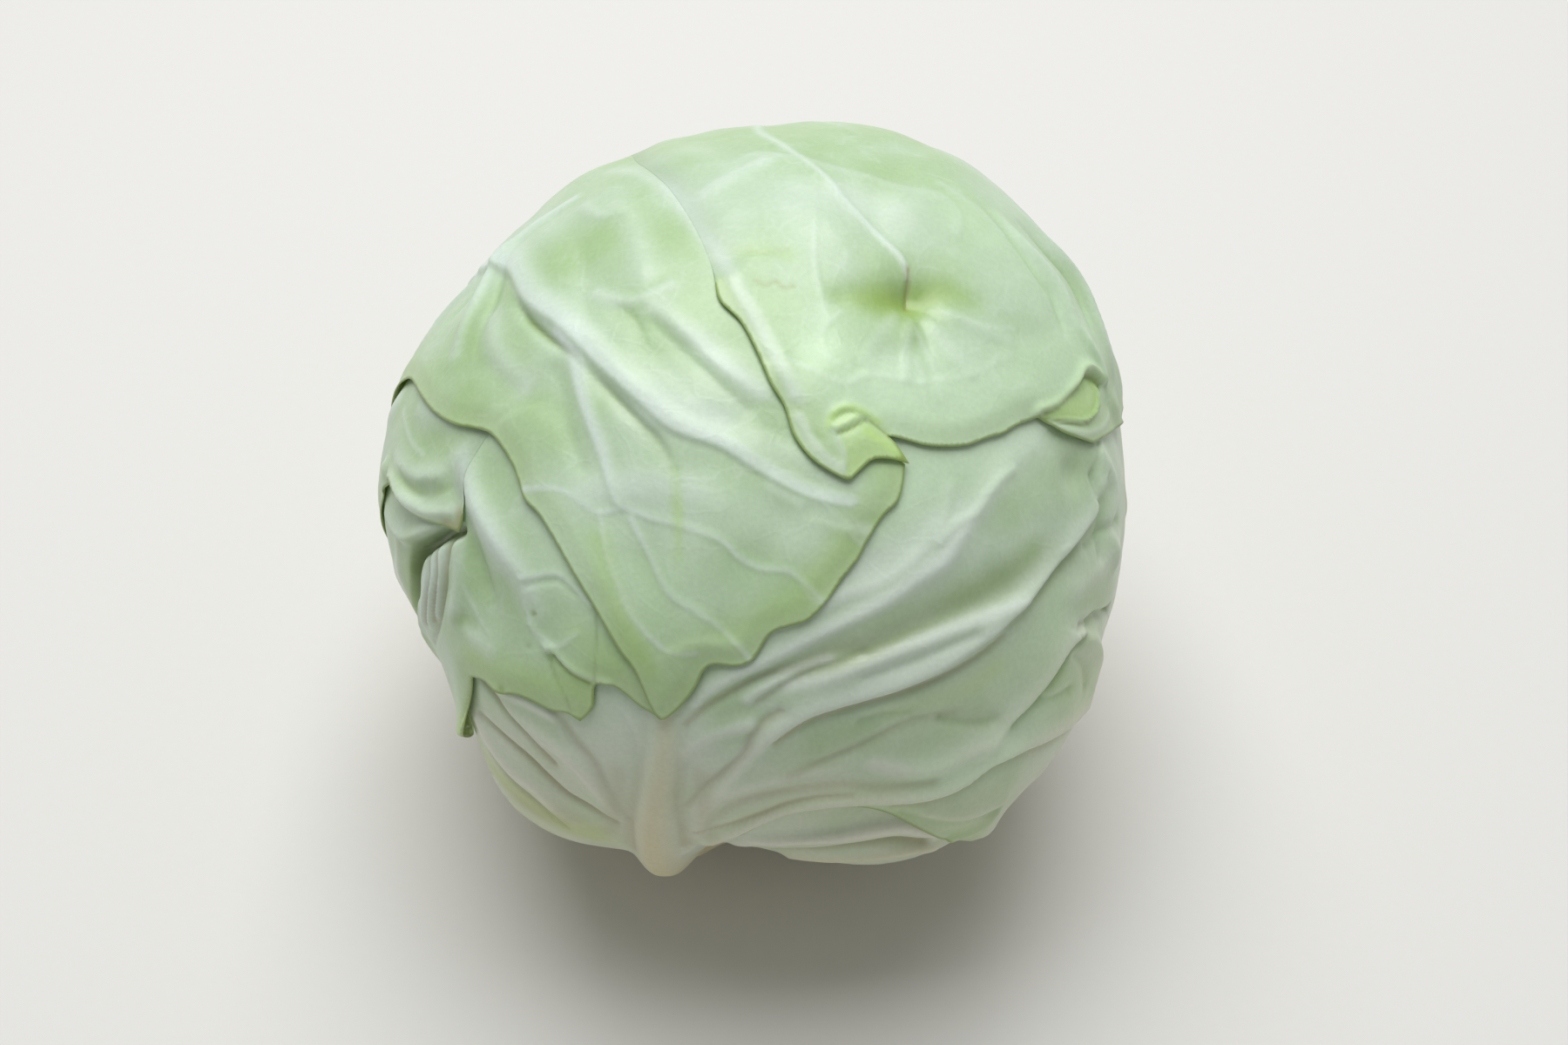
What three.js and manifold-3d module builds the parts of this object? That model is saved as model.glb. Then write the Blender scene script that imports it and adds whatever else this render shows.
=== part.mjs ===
// A head of white cabbage, trimmed for sale and standing on its cut stalk.
// Millimetres, +Z up. The origin is the centre of the cut face; the front looks along -Y.
//
// The head is built as it grows: a compact heart on a short stalk, and wrapper leaves laid over it
// one after the other. All layers share one lattice of directions from the middle of the head, so
// each leaf follows what it lies on, steps over the margins below it and never cuts them.

import * as THREE from 'three';
import { mergeVertices } from 'three/addons/utils/BufferGeometryUtils.js';
import Module from 'manifold-3d';

// Overall size of the head
const HEAD_WIDTH = 156;
const HEAD_HEIGHT = 149;
const HEAD_MIDDLE = HEAD_HEIGHT / 2;
const UNDERSIDE_HEIGHT = 9;
const LOWEST_LEAF_HEIGHT = 1.5;

// Cut stalk
const STALK_FACE_RADIUS = 17;
const STALK_NECK_RADIUS = 19.5;
const STALK_HEIGHT = 22;
const STALK_CHAMFER = 1.2;
const STALK_SIDES = 32;

// Leaves
const LEAF_THICKNESS = 1.2;
const MARGIN_THICKNESS = 0.8;
const MARGIN_WIDTH = 12;
const LAYER_GAP = 0.35;
const LEAF_BASE_DOWN = 167;
const RIB_HALF_WIDTH = 13;

// Lattice of directions
const LATTICE_DETAIL = 8;
const SHORTEST_CUT = 0.14;
const DRAPE_PASSES = 3;
const COVER_PASSES = 4;
const RIB_STEPS = 60;

// Places on the head are [turn, down] in degrees: turn goes round from the front towards the
// right, down goes from the crown (0) past the widest girth (90) to the stalk (180).

// Swellings of the outside: place, rise in millimetres, spread in degrees
const SWELLINGS = [
  { at: [140, 47], rise: 8, spread: 26 },
  { at: [106, 62], rise: 3.5, spread: 20 },
  { at: [36, 108], rise: 8, spread: 15 },
  { at: [56, 99], rise: 1.5, spread: 13 },
  { at: [-35, 111], rise: 6, spread: 13 },
  { at: [-66, 94], rise: -5, spread: 13 },
  { at: [-7, 117], rise: -5.5, spread: 14 },
  { at: [-157, 44], rise: 2, spread: 20 },
  { at: [-115, 58], rise: -2.5, spread: 12 },
  { at: [-84, 80], rise: 2, spread: 12 },
];

// Wrapper leaves in the order in which they are laid on, innermost first. The outline goes round
// the margin from one corner of the leaf base to the other; the rib runs from the base upwards.
const LEAVES = [
  {
    name: 'rear_leaf',
    colour: '#cfe0b4',
    outline: [[103, 172], [100, 140], [88, 105], [92, 60], [120, 22], [-150, 24], [-160, 60],
      [-175, 110], [168, 150], [160, 172]],
    rib: [[131, 170], [134, 120], [140, 80], [150, 45]],
    ribRise: 4,
  },
  {
    name: 'under_leaf',
    colour: '#cbdcaa',
    outline: [[62, 172], [70, 140], [82, 100], [78, 66], [40, 52], [5, 66], [-12, 96], [-8, 130],
      [4, 172]],
    rib: [[33, 170], [35, 135], [34, 105], [36, 80]],
    ribRise: 3,
  },
  {
    name: 'right_leaf',
    colour: '#c8dda6',
    outline: [[116, 172], [126, 140], [142, 95], [136, 46], [90, 20], [50, 38], [41, 80],
      [46, 118], [54, 172]],
    rib: [[85, 170], [86, 130], [88, 95], [86, 60]],
    ribRise: 4,
  },
  {
    name: 'front_leaf',
    colour: '#d5e1c3',
    outline: [[14, 172], [6, 130], [-1, 104], [-1, 92], [8, 87], [17, 90], [25, 99], [33, 109],
      [47, 105], [57, 101], [69, 98], [88, 94], [101, 80], [100, 62], [76, 44], [30, 24],
      [-30, 24], [-62, 46], [-70, 80], [-63, 112], [-52, 140], [-48, 172]],
    rib: [[-15, 170], [-15, 135], [-15, 113], [-14, 92], [-13, 72]],
    ribRise: 8,
  },
  {
    name: 'left_leaf',
    colour: '#cadcb0',
    outline: [[-48, 172], [-54, 135], [-57, 112], [-53, 97], [-43, 77], [-34, 74], [-25, 74],
      [-28, 66], [-21, 67], [-13, 70], [-4, 58], [-12, 38], [-60, 24], [-112, 36], [-122, 80],
      [-118, 120], [-108, 172]],
    rib: [[-78, 170], [-80, 130], [-79, 100], [-68, 76], [-56, 60]],
    ribRise: 4,
  },
  {
    name: 'side_leaf',
    colour: '#c6daa8',
    outline: [[-86, 172], [-88, 125], [-84, 88], [-76, 68], [-65, 64], [-54, 59], [-46, 48],
      [-60, 32], [-112, 32], [-134, 70], [-136, 120], [-130, 172]],
    rib: [[-108, 170], [-110, 130], [-106, 95], [-92, 66]],
    ribRise: 4,
  },
  {
    name: 'middle_leaf',
    colour: '#c2dba0',
    outline: [[-106, 172], [-108, 130], [-104, 92], [-97, 70], [-89, 58], [-81, 55], [-68, 50],
      [-55, 46], [-41, 49], [-25, 57], [-18, 63], [-14, 71], [-9, 65], [-1, 62], [8, 56],
      [20, 47], [28, 44], [34, 38], [50, 24], [120, 14], [178, 44], [-176, 90], [-166, 130],
      [-158, 172]],
    rib: [[-132, 170], [-133, 130], [-131, 95], [-122, 62], [-100, 40], [-40, 30]],
    ribRise: 6,
  },
  {
    name: 'crown_leaf',
    colour: '#bedc9a',
    outline: [[-160, 172], [-166, 130], [-164, 80], [-155, 44], [-140, 20], [-70, 6], [-20, 12],
      [-5, 15], [5, 22], [9, 28], [13, 35], [20, 39], [32, 35], [42, 41], [52, 44], [62, 47],
      [75, 52], [88, 59], [95, 70], [110, 90], [124, 115], [138, 140], [144, 172]],
    rib: [[172, 170], [173, 130], [175, 92], [178, 55], [150, 26], [75, 25]],
    ribRise: 6,
  },
];

// ---------------------------------------------------------------- places and directions

const radians = THREE.MathUtils.degToRad;
const smoothstep = THREE.MathUtils.smoothstep;
const lerp = THREE.MathUtils.lerp;

function directionOf([turn, down]) {
  const flat = Math.sin(radians(down));
  const x = flat * Math.sin(radians(turn));
  const y = -flat * Math.cos(radians(turn));
  return new THREE.Vector3(x, y, Math.cos(radians(down)));
}

// Flat map of the head that keeps shapes true: the crown at its middle, the stalk at infinity
function mapOf(direction) {
  const scale = HEAD_WIDTH / (1 + Math.max(direction.z, -0.9999));
  return new THREE.Vector2(direction.x * scale, direction.y * scale);
}

function mapStretch(direction) {
  return 2 / (1 + Math.max(direction.z, -0.9999));
}

function smoothHeadRadius(direction) {
  const halfWidth = HEAD_WIDTH / 2;
  const halfHeight = HEAD_HEIGHT / 2;
  const across = Math.hypot(direction.x, direction.y) / halfWidth;
  let radius = 1 / Math.hypot(across, direction.z / halfHeight);
  for (const swelling of SWELLINGS) {
    const angle = direction.angleTo(directionOf(swelling.at)) / radians(swelling.spread);
    radius += swelling.rise * Math.exp(-angle * angle / 2);
  }
  return Math.min(radius, radiusAtHeight(direction, UNDERSIDE_HEIGHT));
}

// Where a direction below the middle comes down to a height; without limit above it
function radiusAtHeight(direction, height) {
  return direction.z < 0 ? (HEAD_MIDDLE - height) / -direction.z : Infinity;
}

// ---------------------------------------------------------------- lattice

function makeLattice() {
  const sphere = new THREE.IcosahedronGeometry(1, LATTICE_DETAIL);
  sphere.deleteAttribute('normal');
  sphere.deleteAttribute('uv');
  const merged = mergeVertices(sphere, 1e-4);
  const position = merged.getAttribute('position');
  const index = merged.getIndex().array;
  const directions = [];
  for (let i = 0; i < position.count; i += 1) {
    directions.push(new THREE.Vector3().fromBufferAttribute(position, i).normalize());
  }
  const triangles = [];
  const neighbours = directions.map(() => new Set());
  for (let i = 0; i < index.length; i += 3) {
    const corners = [index[i], index[i + 1], index[i + 2]];
    triangles.push(corners);
    corners.forEach((corner, k) => {
      neighbours[corner].add(corners[(k + 1) % 3]);
      neighbours[corner].add(corners[(k + 2) % 3]);
    });
  }
  return { directions, triangles, neighbours: neighbours.map((set) => [...set]) };
}

function averageAround(values, index) {
  const around = lattice.neighbours[index];
  const total = around.reduce((sum, other) => sum + values[other], 0);
  return (values[index] + total) / (around.length + 1);
}

// ---------------------------------------------------------------- leaf shapes on the lattice

// Distance to a closed outline on the map, positive inside
function signedMapDistance(point, outline) {
  let inside = false;
  let nearest = Infinity;
  const edge = new THREE.Vector2();
  const offset = new THREE.Vector2();
  outline.forEach((start, i) => {
    const end = outline[(i + 1) % outline.length];
    edge.subVectors(end, start);
    offset.subVectors(point, start);
    const along = THREE.MathUtils.clamp(offset.dot(edge) / edge.lengthSq(), 0, 1);
    nearest = Math.min(nearest, offset.addScaledVector(edge, -along).length());
    const crosses = (start.y > point.y) !== (end.y > point.y);
    if (crosses && point.x < start.x + (point.y - start.y) * edge.x / edge.y) {
      inside = !inside;
    }
  });
  return inside ? nearest : -nearest;
}

// Millimetres from the leaf's margin at each lattice point, positive on the leaf
function marginDistances(leaf) {
  const outline = leaf.outline.map((place) => mapOf(directionOf(place)));
  return lattice.directions.map((direction) => {
    const fromMargin = signedMapDistance(mapOf(direction), outline) / mapStretch(direction);
    const down = Math.acos(direction.z);
    const fromStalk = (radians(LEAF_BASE_DOWN) - down) * HEAD_WIDTH / 2;
    return Math.min(fromMargin, fromStalk);
  });
}

// A leaf is one piece: lattice points that a narrow tip leaves alone are dropped
function keepOnePiece(distances) {
  const start = distances.indexOf(Math.max(...distances));
  const reached = new Set([start]);
  const waiting = [start];
  while (waiting.length > 0) {
    for (const other of lattice.neighbours[waiting.pop()]) {
      if (distances[other] > 0 && !reached.has(other)) {
        reached.add(other);
        waiting.push(other);
      }
    }
  }
  return distances.map((distance, i) => (reached.has(i) ? distance : -Math.abs(distance)));
}

// How far the midrib stands out of the leaf at a lattice point
function ribHeight(leaf, ribPath, direction) {
  let nearest = Infinity;
  let along = 0;
  ribPath.forEach((point, i) => {
    const distance = point.distanceTo(direction);
    if (distance < nearest) {
      nearest = distance;
      along = i / RIB_STEPS;
    }
  });
  const across = nearest * HEAD_WIDTH / 2 / RIB_HALF_WIDTH;
  return leaf.ribRise * (1 - along) * (1 - smoothstep(across, 0, 1));
}

// ---------------------------------------------------------------- solids

function geometryOf(points, faces) {
  const geometry = new THREE.BufferGeometry().setFromPoints(points);
  geometry.setIndex(faces.flat());
  geometry.computeVertexNormals();
  return geometry;
}

function pointAt(direction, radius) {
  return direction.clone().multiplyScalar(radius).add(new THREE.Vector3(0, 0, HEAD_MIDDLE));
}

// Closed solid between two radii, cut off where the margin distance turns negative
function layerGeometry(distances, innerRadii, outerRadii) {
  const points = [];
  const numbers = new Map();
  const faces = [];

  function numberOf(key, makePoint) {
    if (!numbers.has(key)) {
      numbers.set(key, points.length);
      points.push(makePoint());
    }
    return numbers.get(key);
  }

  function cornerPair(corner) {
    const direction = lattice.directions[corner];
    return [
      numberOf(`inner ${corner}`, () => pointAt(direction, innerRadii[corner])),
      numberOf(`outer ${corner}`, () => pointAt(direction, outerRadii[corner])),
    ];
  }

  function cutPair(first, second) {
    const [low, high] = first < second ? [first, second] : [second, first];
    const share = distances[low] / (distances[low] - distances[high]);
    const cut = THREE.MathUtils.clamp(share, SHORTEST_CUT, 1 - SHORTEST_CUT);
    return ['inner', 'outer'].map((side) => {
      const radii = side === 'inner' ? innerRadii : outerRadii;
      return numberOf(`${side} ${low} ${high}`, () => {
        const start = pointAt(lattice.directions[low], radii[low]);
        const end = pointAt(lattice.directions[high], radii[high]);
        return start.lerp(end, cut);
      });
    });
  }

  for (const corners of lattice.triangles) {
    const ring = [];
    corners.forEach((corner, k) => {
      const next = corners[(k + 1) % 3];
      const here = distances[corner] > 0;
      const there = distances[next] > 0;
      if (here) {
        ring.push({ pair: cornerPair(corner), leaving: false });
      }
      if (here !== there) {
        ring.push({ pair: cutPair(corner, next), leaving: here });
      }
    });
    for (let k = 1; k + 1 < ring.length; k += 1) {
      faces.push([ring[0].pair[1], ring[k].pair[1], ring[k + 1].pair[1]]);
      faces.push([ring[0].pair[0], ring[k + 1].pair[0], ring[k].pair[0]]);
    }
    ring.forEach((stop, k) => {
      if (stop.leaving) {
        const [innerHere, outerHere] = stop.pair;
        const [innerNext, outerNext] = ring[(k + 1) % ring.length].pair;
        faces.push([outerHere, innerHere, innerNext]);
        faces.push([outerHere, innerNext, outerNext]);
      }
    });
  }
  return geometryOf(points, faces);
}

function stalkGeometry(clearance) {
  const face = STALK_FACE_RADIUS + clearance;
  const neck = STALK_NECK_RADIUS + clearance;
  const profile = [
    new THREE.Vector2(0, -clearance),
    new THREE.Vector2(face, -clearance),
    new THREE.Vector2(face + STALK_CHAMFER, STALK_CHAMFER - clearance),
    new THREE.Vector2(neck, STALK_HEIGHT / 2),
    new THREE.Vector2(neck - 2 * STALK_CHAMFER, STALK_HEIGHT + clearance),
    new THREE.Vector2(0, STALK_HEIGHT + clearance),
  ];
  return new THREE.LatheGeometry(profile, STALK_SIDES).rotateX(Math.PI / 2);
}

function solidOf(geometry) {
  const bare = geometry.clone();
  bare.deleteAttribute('normal');
  bare.deleteAttribute('uv');
  const merged = mergeVertices(bare, 1e-4);
  const mesh = new manifold.Mesh({
    numProp: 3,
    vertProperties: new Float32Array(merged.getAttribute('position').array),
    triVerts: new Uint32Array(merged.getIndex().array),
  });
  return new manifold.Manifold(mesh);
}

function geometryOfSolid(solid) {
  const mesh = solid.getMesh();
  const geometry = new THREE.BufferGeometry();
  geometry.setAttribute('position', new THREE.BufferAttribute(mesh.vertProperties, 3));
  geometry.setIndex(new THREE.BufferAttribute(mesh.triVerts, 1));
  geometry.computeVertexNormals();
  return geometry;
}

function namedMesh(name, geometry, colour, roughness) {
  const material = new THREE.MeshStandardMaterial({ color: colour, roughness, metalness: 0 });
  const mesh = new THREE.Mesh(geometry, material);
  mesh.name = name;
  return mesh;
}

// ---------------------------------------------------------------- assembly

const manifold = await Module();
manifold.setup();

const lattice = makeLattice();
const cabbage = new THREE.Group();
const leafDistances = LEAVES.map((leaf) => keepOnePiece(marginDistances(leaf)));

// The heart is drawn in where more leaves lie over it, so the outside stays round
let cover = lattice.directions.map((direction, i) =>
  leafDistances.filter((distances) => distances[i] > 0).length);
for (let pass = 0; pass < COVER_PASSES; pass += 1) {
  cover = cover.map((value, i) => averageAround(cover, i));
}
const heartRadii = lattice.directions.map((direction, i) =>
  smoothHeadRadius(direction) - cover[i] * (LEAF_THICKNESS + LAYER_GAP));

const stalkSocket = solidOf(stalkGeometry(LAYER_GAP));
const heartSkin = geometryOf(
  lattice.directions.map((direction, i) => pointAt(direction, heartRadii[i])),
  lattice.triangles,
);
const heart = solidOf(heartSkin).subtract(stalkSocket);
cabbage.add(namedMesh('stalk', stalkGeometry(0), '#d9d6b4', 0.8));
cabbage.add(namedMesh('heart', geometryOfSolid(heart), '#dbe6c4', 0.5));

let highest = heartRadii;
LEAVES.forEach((leaf, order) => {
  const distances = leafDistances[order];
  const floor = highest.map((radius) => radius + LAYER_GAP);
  let inner = floor;
  for (let pass = 0; pass < DRAPE_PASSES; pass += 1) {
    inner = inner.map((radius, i) => Math.max(floor[i], averageAround(inner, i)));
  }
  const ribCurve = new THREE.CatmullRomCurve3(leaf.rib.map(directionOf));
  const ribPath = ribCurve.getPoints(RIB_STEPS).map((point) => point.normalize());
  const outer = inner.map((radius, i) => {
    const inward = smoothstep(distances[i], 0, MARGIN_WIDTH);
    const thickness = lerp(MARGIN_THICKNESS, LEAF_THICKNESS, inward);
    const direction = lattice.directions[i];
    const ribbed = radius + thickness + inward * ribHeight(leaf, ribPath, direction);
    return Math.min(ribbed, radiusAtHeight(direction, LOWEST_LEAF_HEIGHT));
  });
  const blade = solidOf(layerGeometry(distances, inner, outer)).subtract(stalkSocket);
  cabbage.add(namedMesh(leaf.name, geometryOfSolid(blade), leaf.colour, 0.45));

  // The next leaf clears every lattice point that this one reaches
  const reached = distances.map((distance, i) =>
    distance > 0 || lattice.neighbours[i].some((other) => distances[other] > 0));
  highest = highest.map((radius, i) => (reached[i] ? outer[i] : radius));
});

export default cabbage;
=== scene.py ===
"""White cabbage: every leaf of the head in full detail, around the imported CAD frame.

Lengths are millimetres until a mesh is written, which is in metres. A place on the head is a
direction from the middle of the head. Two ways of writing one are used:
  globe (turn, down)  degrees: turn goes round from the front to the right, down from the crown
  front (right, up)   millimetres of arc on the front map, whose middle faces the camera
"""

import bpy
import numpy as np
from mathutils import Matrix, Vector, geometry


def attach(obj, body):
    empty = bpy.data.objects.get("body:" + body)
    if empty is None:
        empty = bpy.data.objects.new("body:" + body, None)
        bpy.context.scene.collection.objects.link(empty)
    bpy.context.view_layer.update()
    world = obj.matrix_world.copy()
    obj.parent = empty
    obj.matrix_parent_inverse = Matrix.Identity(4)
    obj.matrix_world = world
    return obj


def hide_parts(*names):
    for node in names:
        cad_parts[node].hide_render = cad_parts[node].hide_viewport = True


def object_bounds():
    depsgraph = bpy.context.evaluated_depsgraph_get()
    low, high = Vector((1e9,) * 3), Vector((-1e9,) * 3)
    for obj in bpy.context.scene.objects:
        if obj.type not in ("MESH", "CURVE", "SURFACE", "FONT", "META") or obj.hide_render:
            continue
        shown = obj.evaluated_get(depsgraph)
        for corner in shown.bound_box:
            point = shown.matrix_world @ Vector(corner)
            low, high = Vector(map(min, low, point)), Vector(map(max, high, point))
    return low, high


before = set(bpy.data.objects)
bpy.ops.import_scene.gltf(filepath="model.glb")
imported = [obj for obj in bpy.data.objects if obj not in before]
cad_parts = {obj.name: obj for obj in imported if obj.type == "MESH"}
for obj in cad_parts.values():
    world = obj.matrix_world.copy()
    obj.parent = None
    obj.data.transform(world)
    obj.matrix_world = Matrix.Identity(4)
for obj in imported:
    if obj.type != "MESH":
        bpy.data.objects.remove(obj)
cad_low, cad_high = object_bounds()

# ---------------------------------------------------------------- sizes

MM = 0.001
MAP_RADIUS = 80.0
HEAD_MIDDLE = 0.49 * (cad_high.z - cad_low.z) / MM
HALF_WIDTH = 0.496 * (cad_high.x - cad_low.x) / MM
HALF_HEIGHT = 0.497 * (cad_high.z - cad_low.z) / MM
UNDERSIDE_HEIGHT = 9.0
UNDERSIDE_SOFTNESS = 4.0
LOWEST_LEAF_HEIGHT = 1.3

LEAF_THICKNESS = 0.9
MARGIN_THICKNESS = 0.32
THINNEST = 0.03
CREST_RADIUS = 0.35
THICKENING = 5.0
LEAF_GAP = 0.12
LUMP_RISE = 0.7
BROAD_LUMP, LUMP, FINE_LUMP = 34.0, 13.0, 5.0
MARGIN_LIFT = 0.28
LIFT_REACH = 2.2
LAYER = 1.1  # how far each leaf draws in the heart below it
FLUSH_REACH = 6.0
FLUSH_SIDES = (16.0, 12.0)
FLUSH_TAPER = 10.0
DRAPE_REACH = 2.0
DRAPE_BLUR = 1.4
SETTLE_REACH = 2.0
SETTLE_MARGIN = 4.0
COVER_SOFTNESS = 12.0
PRESS_SOFTNESS = 0.25
PRESS_MARGIN = (3.0, 14.0)
LEAF_BORDER = (-1.0, 0.5)
SLOPE = 1e-3  # least slope of a direction that meets a level plane
OFF_LEAF = -99.0  # margin distance where a leaf's map doesn't reach

GRID_STEP = 1.25
GRID_BORDER = 8.0
FINE_STEP = 0.66
FRONT_OUTLINE_STEP = 0.7
HIDDEN_OUTLINE_STEP = 1.8
FAR_SIDE = -0.15  # cosine to the middle of the front map
DEEP_COVER = 4.0  # this far under another leaf nothing shows

VIEW_DOWN = 40.0
CAMERA_DISTANCE = 383.0
CAMERA_ELEVATION = 50.0
CAMERA_AIM_HEIGHT = 76.0
CAMERA_HEADING = 1.56
CAMERA_PITCH = -50.73
LENS = 40.0
SENSOR = 36.0

# Swellings of the outside: turn, down, rise in millimetres, spread in degrees
SWELLINGS = (
    (140, 47, 7.5, 24), (106, 62, 3, 18), (36, 108, 8, 15), (56, 99, 1.5, 13), (-35, 111, 6, 13),
    (-66, 94, -5, 13), (-7, 117, -6, 14), (-157, 44, 2, 20), (-115, 58, -3, 12), (-84, 80, 1.5, 12),
    (180, 34, -4, 13), (94, 67, -2, 8), (-54, 105, -4, 8), (-27, 119, -3, 7), (-10, 123, -2, 6),
    (34, 114, -3, 6), (44, 110, -4, 7), (54, 104, -2.5, 7), (62, 98, -2, 6),
)

# Tints that marks lay on a leaf, in the order they go on: strength and colour. Some hold painted
# light and shade, as noted beside them
TINTS = {
    # a deeper green of the leaf itself, and painted shade in grooves and hollows
    "deep": (0.62, (0.31, 0.49, 0.16)),
    "pale": (0.8, None),  # the leaf's own white, and on fold crests also a painted highlight
    # painted light: a brighter green that lightens whole patches of leaf
    "fresh": (0.8, (0.64, 0.86, 0.58)),
    "cream": (0.75, (0.69, 0.61, 0.36)),
    "yellow": (0.8, (0.51, 0.75, 0.24)),
    # painted shade: a warm brownish tone in creases and low places
    "brown": (0.6, (0.36, 0.27, 0.13)),
    # partly the leaf's greener margins, partly painted contact shadow along edges and in creases
    "olive": (0.8, (0.22, 0.31, 0.05)),
    # painted shade: a near-black green laid in the gap under the side leaf
    "dark": (0.95, (0.11, 0.17, 0.025)),
}

# ---------------------------------------------------------------- directions and maps


def length(vectors):
    return np.linalg.norm(vectors, axis=-1)


def unit(vectors):
    return vectors / np.linalg.norm(vectors, axis=-1, keepdims=True)


def columns(*values):
    return np.stack(values, axis=-1)


def globe(*places):
    turn, down = np.radians(np.array(places, float)).T
    flat = np.sin(down)
    return columns(flat * np.sin(turn), -flat * np.cos(turn), np.cos(down))


class Chart:
    """A flat map that keeps distances from its middle true."""

    def __init__(self, turn, down):
        self.axis = globe((turn, down))[0]
        self.right = np.array([np.cos(np.radians(turn)), np.sin(np.radians(turn)), 0.0])
        self.up = np.cross(self.axis, self.right)

    def directions(self, points):
        points = np.asarray(points, float)
        reach = length(points) / MAP_RADIUS
        share = np.where(reach > 1e-9, np.sin(reach) / np.maximum(reach, 1e-9), 1.0) / MAP_RADIUS
        sideways = points[..., :1] * share[..., None] * self.right
        upwards = points[..., 1:] * share[..., None] * self.up
        return np.cos(reach)[..., None] * self.axis + sideways + upwards

    def points(self, directions):
        reach = MAP_RADIUS * np.arccos(np.clip(directions @ self.axis, -1, 1))
        across = columns(directions @ self.right, directions @ self.up)
        return across / np.maximum(length(across), 1e-9)[..., None] * reach[..., None]


FRONT = Chart(0, VIEW_DOWN)


def front(*points):
    return FRONT.directions(np.array(points, float))


def smooth(low, high, value):
    """0 at low, 1 at high, and a soft step between them."""
    share = np.clip((value - low) / (high - low), 0, 1)
    return share * share * (3 - 2 * share)


def gauss(offset, width):
    return np.exp(-((offset / width) ** 2))


# ---------------------------------------------------------------- curves on the head


def spline_piece(before, start, end, after, count):
    """Points of a centripetal spline from start up to, but without, end."""
    knots = [0.0]
    for here, there in ((before, start), (start, end), (end, after)):
        knots.append(knots[-1] + max(np.linalg.norm(there - here), 1e-6) ** 0.5)
    t = np.linspace(knots[1], knots[2], count, endpoint=False)[:, None]

    def blend(low, high, first, second):
        low, high = knots[low], knots[high]
        return ((high - t) * first + (t - low) * second) / (high - low)

    a, b, c = blend(0, 1, before, start), blend(1, 2, start, end), blend(2, 3, end, after)
    return blend(1, 2, blend(0, 2, a, b), blend(1, 3, b, c))


def curve(points, step=None, closed=False):
    """A smooth curve through directions; a point written twice in a row is a corner."""
    points = np.asarray(points, float)
    total = len(points)
    made = []
    for i in range(total if closed else total - 1):
        start, end = points[i], points[(i + 1) % total]
        chord = MAP_RADIUS * np.linalg.norm(end - start)
        if chord < 1e-6:
            continue
        before = points[i - 1] if closed or i > 0 else start
        after = points[(i + 2) % total] if closed or i + 2 < total else end
        if np.linalg.norm(before - start) < 1e-8:
            before = 2 * start - end
        if np.linalg.norm(after - end) < 1e-8:
            after = 2 * end - start
        in_view = (start + end) / 2 @ FRONT.axis > FAR_SIDE
        pace = step or (FRONT_OUTLINE_STEP if in_view else HIDDEN_OUTLINE_STEP)
        made.append(spline_piece(before, start, end, after, max(1, round(chord / pace))))
    if not closed:
        made.append(points[-1:])
    return unit(np.concatenate(made))


def nearest_point(path, directions):
    return (directions.astype(np.float32) @ path.T.astype(np.float32)).argmax(axis=1)


def follow(path, directions):
    """Distance to the left of a path, distance past its ends, and share of the way along."""
    nearest = nearest_point(path, directions)
    tangents = unit(np.gradient(path, axis=0))
    leftward = np.cross(path, tangents)
    offset = directions - path[nearest]
    left = MAP_RADIUS * (offset * leftward[nearest]).sum(axis=1)
    ahead = MAP_RADIUS * (offset * tangents[nearest]).sum(axis=1)
    past = np.where(nearest == 0, np.maximum(-ahead, 0), 0)
    past = np.where(nearest == len(path) - 1, np.maximum(ahead, 0), past)
    return left, past, nearest / (len(path) - 1)


def within(points, outline):
    """True for each map point inside a closed outline."""
    inside = np.zeros(len(points), bool)
    x, y = points.T
    for (x0, y0), (x1, y1) in zip(outline, np.roll(outline, -1, axis=0)):
        if y0 != y1:
            inside ^= ((y0 > y) != (y1 > y)) & (x < x0 + (y - y0) * (x1 - x0) / (y1 - y0))
    return inside


# ---------------------------------------------------------------- noise

NOISE_CELLS = 48
NOISE_TABLE = np.random.default_rng(11).random((NOISE_CELLS,) * 3)
SEED_SHIFT = 17.3
NOISE_ORIGIN = 200.0  # keeps the cells' numbers above zero


def noise(directions, wavelength, seed=0):
    """Smooth noise from -1 to 1 over the head, with a wavelength in millimetres."""
    place = directions * MAP_RADIUS / wavelength + SEED_SHIFT * seed + NOISE_ORIGIN
    cell = np.floor(place).astype(int)
    share = smooth(0, 1, place - cell)
    value = np.zeros(len(directions))
    for corner in np.ndindex(2, 2, 2):
        weight = np.prod(np.where(corner, share, 1 - share), axis=1)
        value += weight * NOISE_TABLE[tuple(((cell + corner) % NOISE_CELLS).T)]
    return 2 * value - 1


def frayed(outline):
    """Waves the part of an outline that lies on the far side of the head."""
    forward = np.roll(outline, -1, axis=0) - np.roll(outline, 1, axis=0)
    outward = unit(np.cross(forward, outline))
    wave = 1.6 * noise(outline, 13, seed=6) + 0.6 * noise(outline, 5, seed=7)
    share = 1 - smooth(-0.45, -0.1, outline @ FRONT.axis)
    return unit(outline + outward * (wave * share / MAP_RADIUS)[:, None])


# ---------------------------------------------------------------- marks on a leaf


class Mark:
    """Something that raises a leaf and tints it, within reach of a path."""

    def __init__(self, path, reach, tints):
        self.path = path
        self.tints = tints
        self.middle = unit(path.mean(axis=0))
        angle = np.arccos(np.clip(path @ self.middle, -1, 1)).max() + reach / MAP_RADIUS
        self.cosine = np.cos(min(angle, np.pi))

    def add(self, directions, relief, colours):
        near = np.flatnonzero(directions @ self.middle > self.cosine)
        if len(near) == 0:
            return
        rise, shades = self.effect(directions[near])
        relief[near] += rise
        for tint, shade in shades.items():
            colours[tint][near] = np.maximum(colours[tint][near], shade)


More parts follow.
